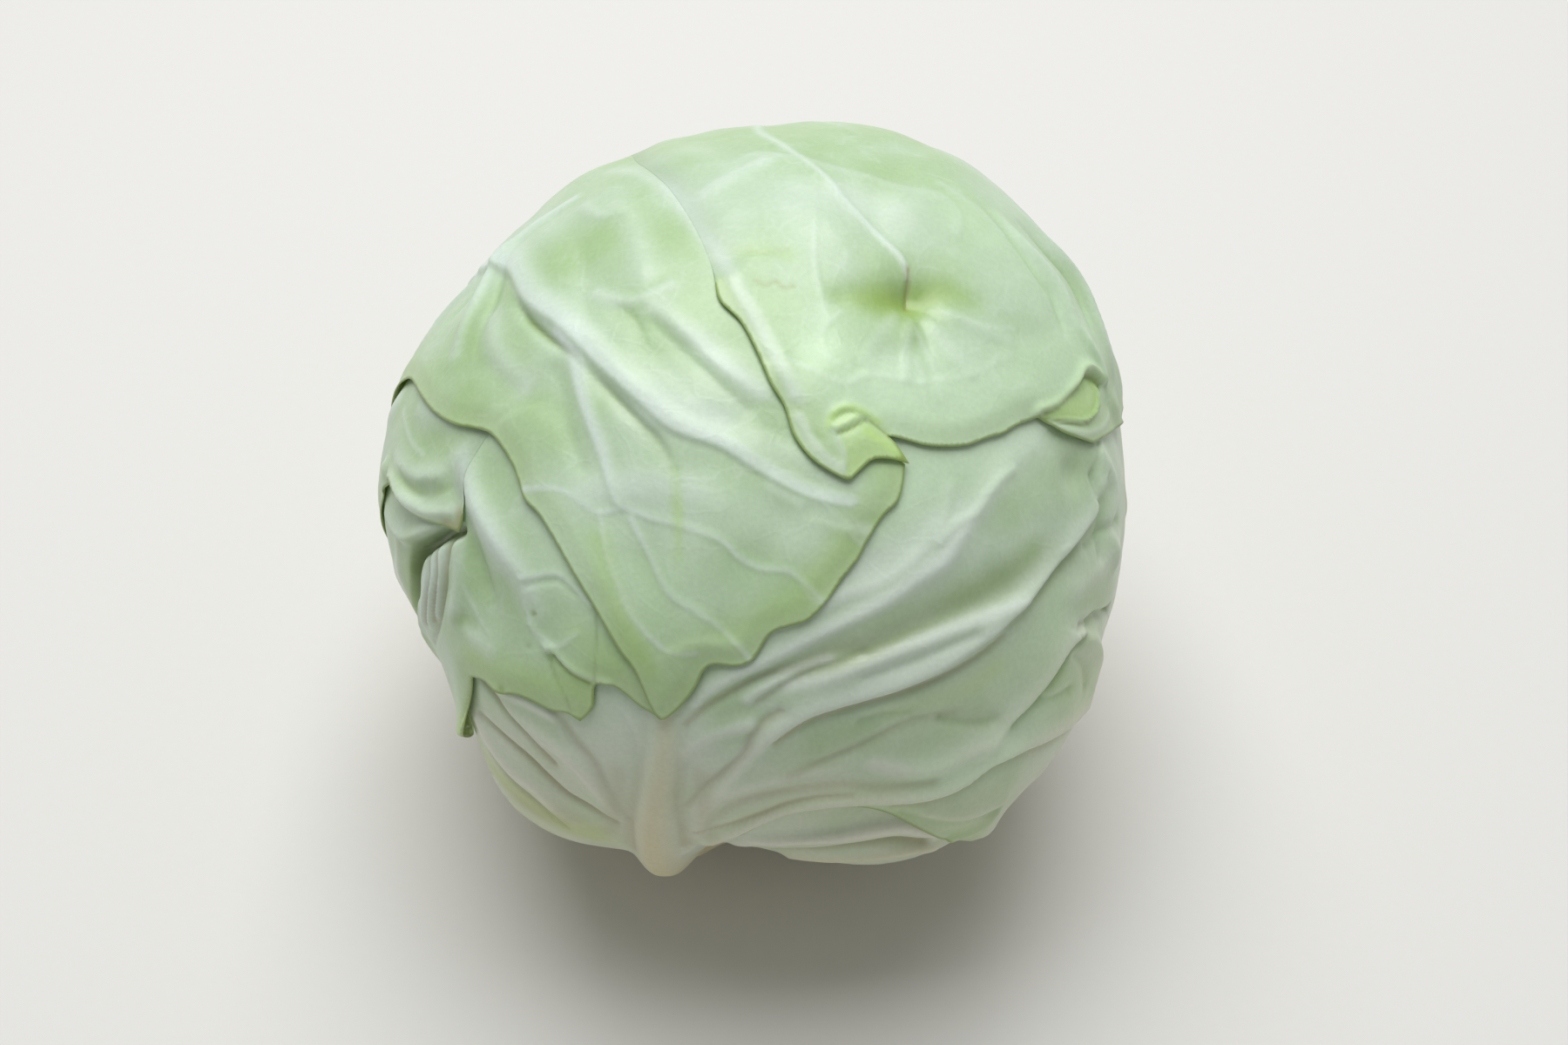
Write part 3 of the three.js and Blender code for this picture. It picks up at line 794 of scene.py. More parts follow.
FRONT_OUTLINE = run(globe((14, 167), (3, 135), (-4, 117)), front((-10.5, -87), (-6.9, -79.9),
    (-2.8, -74.4), (0.1, -70.7), (5.2, -66.2), (11.3, -64), (18.8, -63.9), (25.3, -65.5),
    (32.4, -70.1), (38.6, -74.8), (45.8, -81)), globe((33, 109), (47, 105), (57, 101), (69, 98),
    (88, 94), (101, 80), (100, 62), (76, 44), (30, 24), (-30, 24), (-62, 46), (-70, 80), (-63, 112),
    (-52, 140), (-48, 167)))
FRONT_FLUSH = run(globe((3, 135), (-4, 117)), front((-10.5, -87)))
FRONT_RELIEF = [
    Stroke(FRONT_RIB, power=2.4, pale=(0.5, 0.6, 0.2, 0), cream=(0.4, 1, 1.2, 1.2), **NUB),
    Stroke(globe((-15, 106), (-15.2, 118)), rise=1.4, left=9),
    groove((-22, -44), (-24, -53), (-27, -63), (-30, -74), (-31, -84),
        depth=(0.2, 0.5, 0.6, 0.6, 0.2), left=0.9, right=2.4, brown=(0.1, 0.4, 0.7)),
    groove((-15.2, -44), (-16.4, -54), (-18, -63), (-18.4, -73), (-19, -84),
        depth=(0.2, 0.5, 0.6, 0.6, 0.2), left=2.4, right=0.9, brown=(0.1, 0.4, 0.7)),
    # Left of the midrib: ridges that fan out from the nub, with grooves between them that carry
    # painted shade in a warm tone
    fold((-56, -38.3), (-52.7, -39.3), (-48.5, -40.4), (-42.6, -43), rise=0.7, left=1.3, pale=0.9),
    groove((-62, -37), (-59.8, -38.9), (-56.8, -41.7), (-53.7, -45.5), (-50.5, -48.9), (-45, -56),
        depth=(0.6, 0.8, 0.5), left=0.5, right=0.8, brown=0.9),
    fold((-54, -42.5), (-50, -45), (-45.3, -48.8), (-41.1, -52.2), (-38, -56), (-35.3, -61.5),
        (-32.5, -70), rise=(0.5, 1.3, 1.6, 1.3, 0.6), left=2, right=2.4, pale=(0.5, 1, 1, 0.4)),
    groove((-43, -40.5), (-40.5, -44.5), (-38.2, -49.5), (-35.3, -53.9), (-33.4, -61.2),
        (-30.9, -71.6), depth=(0.4, 0.8, 0.8, 0.4), left=1.4, right=0.8, brown=0.4),
    groove((-66, -48.5), (-63.3, -49.4), (-57.4, -52.4), (-52.4, -55.9), (-48.2, -61.1),
        (-44.2, -65.8), (-39.9, -69), (-34, -75), depth=(0.6, 1, 1.1, 1, 0.5), left=0.6, right=0.9,
        brown=(0.6, 1, 1)),
    fold((-68, -51), (-65.1, -54.5), (-61.9, -58), (-57.1, -62), (-52, -65.3), (-48.1, -70.8),
        (-44.1, -75.3), rise=(0.8, 1.2, 1.2, 0.7), left=2.2, right=2.6, pale=(0.9, 0.9, 0.4)),
    groove((-66, -60), (-60, -66.5), (-53, -72), (-48, -79), depth=(0.3, 0.7, 0.4), left=0.7,
        brown=0.6),
    groove((-26.9, -41.4), (-25.2, -46.8), (-25.1, -50.9), depth=0.3, left=0.4),
    stroke((-82, -56), (-66, -68), (-52, -76), (-42, -80), left=5, cream=0.7, yellow=0.5,
        olive=0.14),
    stroke((-54, -52), (-40, -56), (-32, -52), (-24, -44), left=8, pale=0.55),
    stroke((-14, -44), (-10, -56), (2, -60), (14, -58), left=7, pale=0.55),
    # Right of the midrib, from the top down
    fold((-12, -38.5), (-10, -36.3), (-4.2, -32.2), (1.4, -29.5), (5.1, -27.6), (11, -24.6),
        (17, -21.8), (24, -18.6), (30.8, -14.6), (36.3, -11.4), (39.5, -7), (44, -2), (51, 5.8),
        (60, 12), rise=(0.4, 0.8, 0.9, 0.8, 0.9, 0.9, 0.4), left=(1.8, 2.8, 4.4),
        right=(0.8, 1.2, 2, 2.8), pale=(0.9, 1, 1, 0.9)),
    fold((-3, -25.4), (3, -22.9), (9, -20), (15, -17.6), (21.5, -15.4), (27, -12.6), (32, -8.6),
        (36.4, -3.4), (38, 2), rise=(0.1, 0.4, 0.5, 0.5, 0.3), left=1.8, pale=(0.2, 0.8, 0.9, 0.7)),
    vein((35, -8), (39, -4.4), (43.4, -2.4), (45.9, 0.9), (49, 3.8), (53, 5.8), rise=0.5, left=1.4,
        pale=0.8),
    groove((-14.2, -42.9), (-10.1, -38.8), (-4.3, -35.2), (0, -32.8), (7, -30.6), (15, -28),
        (22, -27.4), (29, -25.6), (36, -23.6), (42, -22), (48.5, -20), (55, -17), (64, -12),
        depth=(0.3, 0.8, 0.9, 1, 1.3, 1.3, 0.4), left=(0.6, 0.9, 2.4, 4.2, 4.6, 4),
        right=(0.8, 1, 1.4, 2, 2.2), power=1.8, brown=(0.6, 0.3, 0.1),
        deep=(0, 0.1, 0.4, 0.4, 0.3)),
    stroke((22, -24), (32, -21.5), (42, -18.8), (50, -15.6), (58, -11), left=3.4,
        deep=(0.3, 0.9, 0.9)),
    fold((-2, -37), (0.6, -35.1), (5.6, -31.9), (10.5, -29.9), (13.8, -29.2), rise=(0.5, 0.8, 0.3),
        left=0.9, pale=0.9),
    groove((0, -37.4), (4.5, -34.2), (8.8, -32.2), (13.8, -30.4), (20, -28.6),
        depth=(0.3, 0.9, 0.6), left=0.6, right=1, brown=0.3),
    fold((6.1, -33.8), (13.8, -32.4), (21.7, -30), (28.2, -27.6), (35.3, -25.6), (42, -23.8),
        (49, -22.2), (54.6, -20.8), rise=(0.3, 0.7, 0.8, 0.7, 0.3), left=1.1, right=2, pale=1),
    groove((20, -33), (28, -31), (36, -28.6), (43, -26.6), depth=0.5, left=1),
    fold((-15, -78), (-12, -68), (-8, -60), (-4.4, -54.2), (2.2, -45.4), (8.9, -40.4), (16.2, -38),
        (23.1, -36.4), (29, -34.6), (35, -32.6), (41.4, -29.6), (48.2, -26), (52.4, -22.8),
        (55.4, -20.7), (60.2, -16.9), (64.6, -13.5), (71.5, -8.9), (78.5, -3.4), (82.6, 3),
        rise=(0.6, 0.7, 1, 1.3, 1.5, 1.4, 1.1, 0.8), left=(2, 2.6, 3.4, 4, 3.2, 2.4),
        right=(1.2, 0.8, 0.7, 0.8), pale=(0.6, 0.9, 0.8, 0.6, 0.4)),
    groove((3, -46.5), (8, -42.4), (11.7, -40.6), (18.5, -38.9), (24.3, -37.5), (30.2, -36.3),
        (35.1, -35), (41.7, -32.6), (50, -28), depth=(0.2, 0.5, 0.6, 0.6, 0.5, 0.2), left=0.4,
        right=(0.7, 1, 1.2), brown=(0.9, 0.9, 0.5), deep=0.2),
    groove((52, -24.6), (58, -20.6), (64, -16.2), (72, -10.6), (79, -5.4),
        depth=(0.1, 0.6, 0.9, 0.7, 0.3), left=0.5, right=2.2, deep=0.5, brown=0.25),
    fold((-14.6, -49.1), (-10.4, -45.9), (-4.6, -43.4), (-1.5, -42.4), rise=0.8, left=1.6,
        pale=0.9),
    groove((-16.3, -65.8), (-11.3, -58.7), (-6.9, -54), (-2.8, -48.9), (-1.5, -45.1), (1.2, -41.5),
        (4.2, -39.4), depth=(0.4, 0.9, 1, 0.7), right=1.2, brown=0.5),
    fold((-14, -66), (-9.4, -61.1), (-3.1, -58), (5, -55.8), (12, -54), rise=(0.4, 0.8, 0.5),
        left=1.5, pale=0.8),
    groove((6.2, -54.8), (12, -51.9), (17.8, -49.3), (22.5, -47.1), (27.2, -44.9), (32.1, -43.5),
        (39.9, -43.4), depth=(0.5, 0.9, 0.8, 0.5), left=1, right=1.4, brown=0.35),
    groove((37, -44.6), (44.4, -46.4), (50, -46.8), depth=0.9, left=1.3, right=1.6, deep=0.6),
    groove((20, -42.6), (25.5, -41.6), (30, -41.8), depth=0.7, left=1, right=1.2, deep=0.4),
    fold((22.8, -52.5), (30.6, -55.2), (37.1, -55.3), (45.7, -52.1), (50.8, -51.6),
        rise=(0.4, 0.9, 0.9, 0.5), left=1.8, pale=0.9),
    groove((-12, -71), (-4, -62.5), (6, -59), (16, -57.5), (26, -58.8), (36, -58.6),
        depth=(0.3, 0.8, 0.7, 0.5), left=1.3, brown=0.4),
    fold((-18, -89), (-10, -80), (-3, -71.6), (4, -65.6), (12, -62.9), (19.9, -62.2), (28.8, -62.2),
        (36.5, -61.7), (43.1, -59.7), (49.1, -56.3), (55.9, -55), (61.7, -54.2), (71.8, -53.7),
        (84, -54.6), rise=(1, 1.5, 1.3, 1.3, 1.4, 1.3, 0.9), left=(1.4, 2.2, 3),
        right=(0.7, 0.8, 0.9), pale=(0.9, 0.9, 1, 0.9)),
    groove((-15.2, -76.5), (-5.6, -70.3), (0.9, -65.6), (6, -62.6), (12, -60.6), (19, -60.2),
        depth=(0.5, 1.1, 1, 0.5), left=0.7, right=0.5, brown=(0.7, 0.9, 0.4)),
    groove((28, -64), (36, -63.6), (43, -61.7), (50, -58.3), (57, -57), (66, -56.3), (78, -56.8),
        depth=(0.3, 0.6, 0.6, 0.5), left=0.4, right=(0.8, 1.5, 1.6), brown=0.6, deep=0.2),
    fold((36, -68), (44, -70), (50, -70.5), (56, -70), rise=0.8, left=1.6, pale=0.3),
    groove((30, -66.6), (39.1, -70.6), (49.4, -73.4), (55, -73), depth=1.1, right=1.2, deep=0.6),
    fold((44, -79.5), (51.9, -79.4), (56, -75), left=1.4, deep=0.4),
    fold((47, -54.2), (49.3, -52), (53.4, -47.9), (57.8, -43.8), (62.4, -38.8), (65.7, -35.4),
        (70.4, -31.5), (74.9, -30), rise=(0.5, 1.1, 1.2, 0.9), left=(2.4, 3.4), right=0.7,
        pale=(0.7, 0.9, 0.8)),
    groove((55, -48.6), (61.1, -42.9), (66.1, -37.6), (70.6, -33.1), (74.4, -31.9),
        depth=(0.4, 1, 1.1, 1), left=0.5, right=1.2, deep=0.8, olive=0.3),
    groove((61, -43.4), (65, -44.4), (71, -44), depth=0.8, left=0.9, deep=0.7),
    groove((72, -36), (77, -40), (80, -46), depth=0.7, left=1, deep=0.5),
    fold((74, -31.4), (82.4, -35.4), (90, -46), (87, -55), rise=1.4, left=1.2, right=3.6, deep=0.5,
        pale=0.3),
    groove((73, -29), (81, -28.8), (88, -30), (99, -31), depth=(1.2, 2.2, 2.2), left=0.9, right=1.2,
        deep=0.6, olive=0.2),
    fold((72, -20.5), (79, -17.5), (86, -14.5), (92, -11), rise=0.8, left=3, pale=0.5),
    groove((76, -11), (84, -8), (92, -6), depth=0.8, left=1.2, deep=0.4),
    fold((82.4, 10.4), (88.3, 2.1), (86.2, -6.4), (90, -16), rise=1.1, left=2.2, pale=0.5),
    groove((79, 5), (82, -4), (82, -14), depth=1, left=1.2, deep=0.3),
    dent((71.5, 5.5), 1.4, 3.6, deep=0.5),
    groove((81.5, 12), (79.8, 6), (80, 0), depth=0.4, deep=0.4),
    Stroke(globe((-38, 108), (-30, 112), (-20, 112)), left=5, yellow=0.35, cream=0.6),
    stroke((-30, -56), (-32, -66), (-36, -78), left=2.4, brown=0.4),
    stroke((-12, -56), (-12, -66), (-12, -78), left=2.4, brown=0.4),
    stroke((-48, -74), (-54, -76), (-62, -72), left=3.5, brown=0.35),
    stroke((20, -12), (30, -7), (40, -1), left=4, pale=0.7),
    # Greener ground between the veins, partly painted shade, and brighter patches that are painted
    # light
    stroke((52, -2), (62, 3), (73, 6), rise=-0.3, left=6, deep=0.55),
    stroke((66, -40), (75, -45), (84, -48), rise=0.2, left=7, deep=0.5, yellow=0.2),
    stroke((76, -22), (84, -24), (92, -24), left=7, deep=0.45),
    stroke((52, -36), (60, -28), (66, -22), left=5, deep=0.25, fresh=0.5),
    stroke((24, -48), (35, -48), (46, -43), left=4.5, deep=0.4),
    stroke((12, -48), (22, -44), left=3.5, deep=0.5),
    stroke((36, -57), (49, -56), (60, -48), left=6, fresh=0.8),
    stroke((8, -32), (19, -29), (28, -26), (37, -23), (44, -19), left=1.8,
        deep=(0.3, 0.7, 0.7, 0.4), brown=(0.4, 0.4, 0.2, 0)),
    stroke((27, -41), (38, -39), (49, -35), left=3, yellow=0.35, brown=0.1),
    stroke((42, -66), (50, -66), (57, -64), left=4, deep=0.4),
    stroke((44, -78), (52, -77), (56, -72), left=3.5, deep=0.7),
    stroke((24, -3), (40, 4), (58, 9), left=7, fresh=0.7),
]

LEFT_RIB = globe((-78, 168), (-80, 130), (-79, 100), (-70, 80))
LEFT_OUTLINE = run(globe((-48, 167), (-54, 135), (-58, 112)), front((-92, -66), (-87.5, -68),
    (-82.5, -65), (-76.5, -58.6), (-71, -51.6), (-67, -44.6), (-64.4, -39.6), (-63.7, -37.2),
    (-63.7, -37.2), (-59.2, -36.9), (-54.3, -38.5), (-49.4, -38.3), (-45.2, -39.6), (-42.2, -41),
    (-38.1, -41.3), (-35.8, -42.9), (-35.8, -42.9), (-32.6, -39.4), (-31.4, -34.4), (-27.8, -34.3),
    (-25.2, -36), (-22.8, -38.3), (-19.6, -40.4), (-19.6, -40.4), (-15, -33), (-8, -20), (0, -5),
    (2, 10)), globe((-12, 30), (-60, 24), (-112, 36), (-122, 80), (-118, 120), (-108, 167)))
LEFT_RELIEF = [
    Stroke(LEFT_RIB, rise=(3, 2.2, 1.4, 0.5), left=(7, 4, 3), pale=0.7),
    fold((-66, 15), (-61.5, 9), (-58.6, 3.4), (-55.6, -1.2), (-52.7, -4.9), (-49, -9.5),
        (-45.6, -13.6), (-43, -20), rise=(0.2, 1.5, 2.2, 1.8, 1.1, 0.4), left=3, right=3.4,
        pale=(0.6, 1, 1, 0.6)),
    groove((-59.6, -3), (-57.6, -9), (-55.5, -15), (-53, -22), depth=(0.5, 1.3, 1.3, 0.4), left=1.6,
        right=2.6, deep=0.15),
    fold((-63.6, -6), (-63.4, -12), (-64.6, -18), (-67, -24), rise=0.8, left=2, pale=0.5),
    vein((-45.7, -13.6), (-39.8, -12.6), (-37.7, -12.8), (-34.5, -15.2), (-31.6, -18.3), rise=0.3,
        left=0.8, pale=1),
    groove((-45, -14.8), (-39.8, -13.9), (-37.4, -14.2), (-34.5, -16.6), depth=0.25, left=0.5),
    vein((-45.7, -13.9), (-45, -19.9), (-43.7, -24.4), (-41.1, -27.4), rise=0.3, left=0.9,
        pale=(0.8, 1)),
    vein((-44.8, -22.7), (-39.3, -26.8), (-34.6, -24.2), rise=0.3, left=0.8, pale=0.8),
    vein((-59.6, -20), (-57.4, -23.4), (-55.4, -25.6), rise=0.2, left=0.5, pale=0.7),
    vein((-62, -16), (-60, -20), (-59.6, -20.6), rise=0.15, left=0.5, pale=0.5),
    groove((-30.1, -18.9), (-30.6, -26.3), (-31.4, -33.6), depth=0.3, left=0.3, olive=0.3),
    dent((-43.6, -20.5), 0.1, 0.45, olive=1),
    dent((-45.6, -27.2), 0.1, 0.6, olive=0.4),
    # The fold below the side leaf, and the sunken gap under it, laid with painted shade
    fold((-99, -1), (-93, -3.6), (-87, -6), (-82.5, -6.6), (-76.2, -5.4), (-70.5, -3.6),
        rise=(1, 1.6, 1.8, 1.6, 0.8), left=2.2, right=0.8, pale=0.5),
    groove((-62.6, -4.4), (-66, -4.8), (-70, -6), (-74.5, -7.6), (-79.5, -9.6), (-82.6, -13.4),
        (-84.6, -17.4), (-88, -22), (-92, -29), depth=(1.4, 2.6, 3.4, 3.6, 3.4, 3, 2.2, 0.8),
        left=(1, 1.5, 2), right=1, power=2),
    # painted shade: a near-black green along the gap
    stroke((-62.8, -4.6), (-66, -5), (-70, -6.4), (-74.5, -8.4), (-79.5, -10.6), (-82.8, -14),
        (-85, -18), (-88, -22.6), (-91, -28), left=(0.8, 1.5, 1.9, 1.6), right=(0.8, 2, 2.8, 2.2),
        power=3, dark=(0.9, 1, 1, 1, 0.9, 0.6, 0), deep=1),
    stroke((-80, -9), (-87, -16), (-92, -26), left=3.5, deep=0.5, yellow=0.3, olive=0.25),
    stroke((-70, -10), (-74, -15), (-80, -22), (-86, -30), rise=0.5, left=4, power=3,
        pale=(1, 1, 0.5)),
    groove((-62.4, -4.8), (-65.6, -7), (-67.2, -10.8), (-69.4, -17.6), (-75.2, -26.4), (-83, -34),
        depth=(0.6, 1.1, 1.2, 1, 0.4), left=0.5, right=0.8, brown=(1, 0.8, 0.3)),
    fold((-69, -7.4), (-69.8, -15), (-75.4, -25), rise=(0.3, 0.9, 0.4), left=0.7, pale=1),
    groove((-70.6, -8), (-71.6, -15.6), (-78, -27), depth=(0.3, 0.8, 0.3), left=0.5, brown=1),
    fold((-72.2, -9), (-73.2, -16), (-80.6, -27.6), rise=(0.3, 0.9, 0.4), left=0.7, pale=1),
    groove((-73.8, -10), (-74.9, -16.4), (-83, -28.4), depth=(0.3, 0.8, 0.3), left=0.5, brown=1),
    fold((-75.6, -11.4), (-76.6, -17), (-85, -28.6), rise=(0.3, 0.9, 0.4), left=0.7, pale=0.9),
    stroke((-92, -9), (-94, -16), (-94, -26), rise=0.3, left=3, brown=0.25, deep=0.3),
    fold((-86, -23), (-91, -33), (-96, -46), rise=(0.8, 1.4, 0.8), left=2, deep=0.5),
    stroke((-67, -24.6), (-62.5, -23.4), (-60, -24.6), rise=-0.3, left=1.5, deep=0.9, olive=0.2),
    # The curled tip and the slit beside it
    fold((-66.5, -44.5), (-71.5, -51.5), (-78, -58), (-84, -62.5), rise=(0.5, 1.4, 2.2, 2.4),
        left=1.2, right=(1.6, 3), yellow=0.9),
    # painted shade in the slit
    groove((-64.2, -37.8), (-66.6, -42.6), (-70.5, -48.6), (-74, -52.8), depth=(0.8, 1, 0.3),
        left=0.4, right=0.5, olive=(0.9, 0.9, 0.2), deep=0.5),
    stroke((-76, -60), (-84, -66), (-92, -66), left=5, yellow=0.9),
    # The tooth: the leaf turned over below its own edge
    Patch((-40.6, -28), (-38, -30.5), (-36, -32), (-32.4, -33.6), (-31.6, -35), (-32.2, -38),
        (-34.5, -42), (-35.8, -43.4), (-37.1, -40.5), (-37.9, -36.8), (-39.6, -33.2),
        (-41.2, -29.2), rise=-0.35, softness=0.35, yellow=0.35, olive=0.08),
    fold((-41.4, -27.6), (-40.2, -27.8), (-38, -30), (-36, -31.4), (-32.4, -33), (-28.6, -33.9),
        rise=0.55, left=0.8, right=0.25, pale=0.4),
    # painted shadow under the leaf's edge
    groove((-40.2, -28.9), (-37.8, -31.1), (-35.8, -32.6), (-32.6, -34.2), left=0.25, right=0.5,
        olive=0.8),
    groove((-41.2, -29.4), (-39.8, -33.4), (-38.1, -36.9), (-37.3, -40.4), depth=0.3, left=0.3,
        right=0.6, olive=0.35),
    fold((-38.6, -31.6), (-36.4, -35.4), (-34.9, -39), rise=0.35, left=0.9, yellow=0.3),
    dent((-53.6, -37.4), 0.2, 0.7, olive=0.7),
    stroke((-60, -32), (-48, -34), (-36, -35), left=4, deep=0.1, yellow=0.4),
    # painted light: a brighter green over this part of the leaf
    stroke((-58, -26), (-46, -27), (-34, -20), (-40, -8), left=6, pale=0.2, fresh=0.5),
    stroke((-60, -27), (-56, -29), rise=0.4, left=2.6, pale=1),
    stroke((-34, -24), (-27, -30), left=3.5, deep=0.2, yellow=0.2),
]

SIDE_RIB = globe((-108, 168), (-110, 130), (-106, 95), (-92, 66))
SIDE_OUTLINE = run(globe((-86, 167), (-88, 125), (-85, 92), (-80, 76)), front((-90, 8.2),
    (-82.4, 2.3), (-75.4, -1.3), (-69.5, -2.7), (-66, -3.5), (-62.5, -4.5), (-62.5, -4.5),
    (-61.1, -2.4), (-60.4, 0.2), (-60.4, 3.3), (-59.8, 9), (-57.5, 14), (-53, 19), (-47, 24)),
    globe((-64, 30), (-112, 32), (-134, 70), (-136, 120), (-130, 167)))
SIDE_FLUSH = front((-60.2, 5.5), (-59.9, 9), (-57.5, 14), (-53, 19), (-47, 24))
SIDE_RELIEF = [
    Stroke(SIDE_RIB, rise=(3, 2.2, 1.4, 0.5), left=(7, 4, 3), pale=0.8),
    *side_veins(SIDE_RIB, 5, 50, seed=4, end=0.6),
    fold((-94, 10), (-88, 7), (-80.9, 2.6), (-74.3, 0.4), (-67.7, -0.4), (-62.8, 0),
        rise=(0.8, 1.8, 2.2, 2, 1.4, 0.6), left=2, right=1.6, pale=(0.4, 0.8, 0.6)),
    groove((-84, 9), (-80.9, 6.2), (-75.3, 4.3), (-69.4, 3.8), (-65.1, 5), (-61.9, 5.2),
        depth=(0.2, 0.9, 1.5, 1.8, 1.6, 0.8), left=0.7, olive=(0.1, 0.5, 0.7)),
    groove((-62.6, 5.4), (-61.8, 3.4), (-61.2, 1.4), (-61.2, -1), (-62.4, -3.8),
        depth=(0, 0.8, 1.8, 2, 1.6), left=0.5, right=1.2, brown=(0, 0.7, 0.9)),
    fold((-88, 13), (-79, 8.8), (-72, 7.4), (-66, 8.8), (-62, 11), rise=(0.2, 0.9, 1.1, 0.7, 0.2),
        left=2.6, right=1.4, pale=0.5),
    fold((-96, 12), (-97.4, 3), (-99, -6), rise=0.9, left=1.2, pale=0.6),
    groove((-93.4, 10), (-95, 3), (-96.4, -4), depth=0.5, left=0.6, deep=0.4),
    fold((-80, 25), (-72, 21.6), (-65, 18.8), (-58, 16.6), rise=0.3, left=2, pale=0.3),
    vein((-90, 26), (-82, 17), (-76, 13), rise=0.2, pale=0.5),
    stroke((-84, 20), (-74, 14), (-66, 14), rise=-0.3, left=4.5, deep=0.3),
    stroke((-61.4, -0.5), (-62.6, -3.6), (-66, -3), rise=-0.3, left=1.4, brown=0.9),
    stroke((-76, 6), (-70, 5.4), left=2.2, deep=0.6),
]

EDGE_RIB = fold((-36, 92), (-27, 84), (-18, 73), (-9.6, 57.3), (-4.8, 48.8), (-1.2, 40.4),
    (2, 33.5), (5.4, 26.2), (8, 20), rise=(0.2, 0.3, 0.3, 0.3, 0.3, 0.3), left=2.2,
    right=(2.2, 1.6, 1.1), power=2, pale=(0.4, 0.6, 0.6, 0.8))
MIDDLE_RIB = run(globe((-132, 168), (-133, 130), (-131, 95), (-122, 66), (-114, 50)),
    front((-57, 58), (-48.4, 46.2), (-38.2, 37.8), (-29.6, 28.9), (-20.3, 20.1), (-14.3, 14.8),
    (-5.4, 11.2), (0.9, 7), (6.4, 3.7), (12, 1.2), (17.7, 0)))
MIDDLE_OUTLINE = run(globe((-106, 167), (-108, 130), (-104, 92), (-98, 72)), front((-89.4, 34.8),
    (-79.1, 27.9), (-71.7, 22.3), (-64.8, 18.9), (-57.8, 17.2), (-54.1, 15.8), (-50.7, 12.4),
    (-48, 8.7), (-46.3, 5.1), (-45, 2.1), (-41.6, -1), (-36, -9.4), (-30.1, -18.9), (-25.4, -26.9),
    (-23, -30.2), (-20.4, -37.6), (-18.6, -40.8), (-16.6, -39.8), (-14.1, -37.4), (-11.4, -33.6),
    (-9.9, -30.6), (-8.3, -29.5), (-3.9, -29.7), (-1.1, -28.7), (2.7, -23.4), (5.1, -22.4),
    (9.2, -21.2), (12.4, -18.4), (15.7, -14.1), (19.1, -10.2), (20.8, -7), (24.2, -2.3),
    (26.9, 0.1), (27.9, 2.5), (28.8, 7), (28.8, 7), (25, 10.4), (20.5, 14), (19, 20), (22, 28)),
    globe((62, 26), (120, 16), (178, 44), (-176, 90), (-166, 130), (-158, 167)))
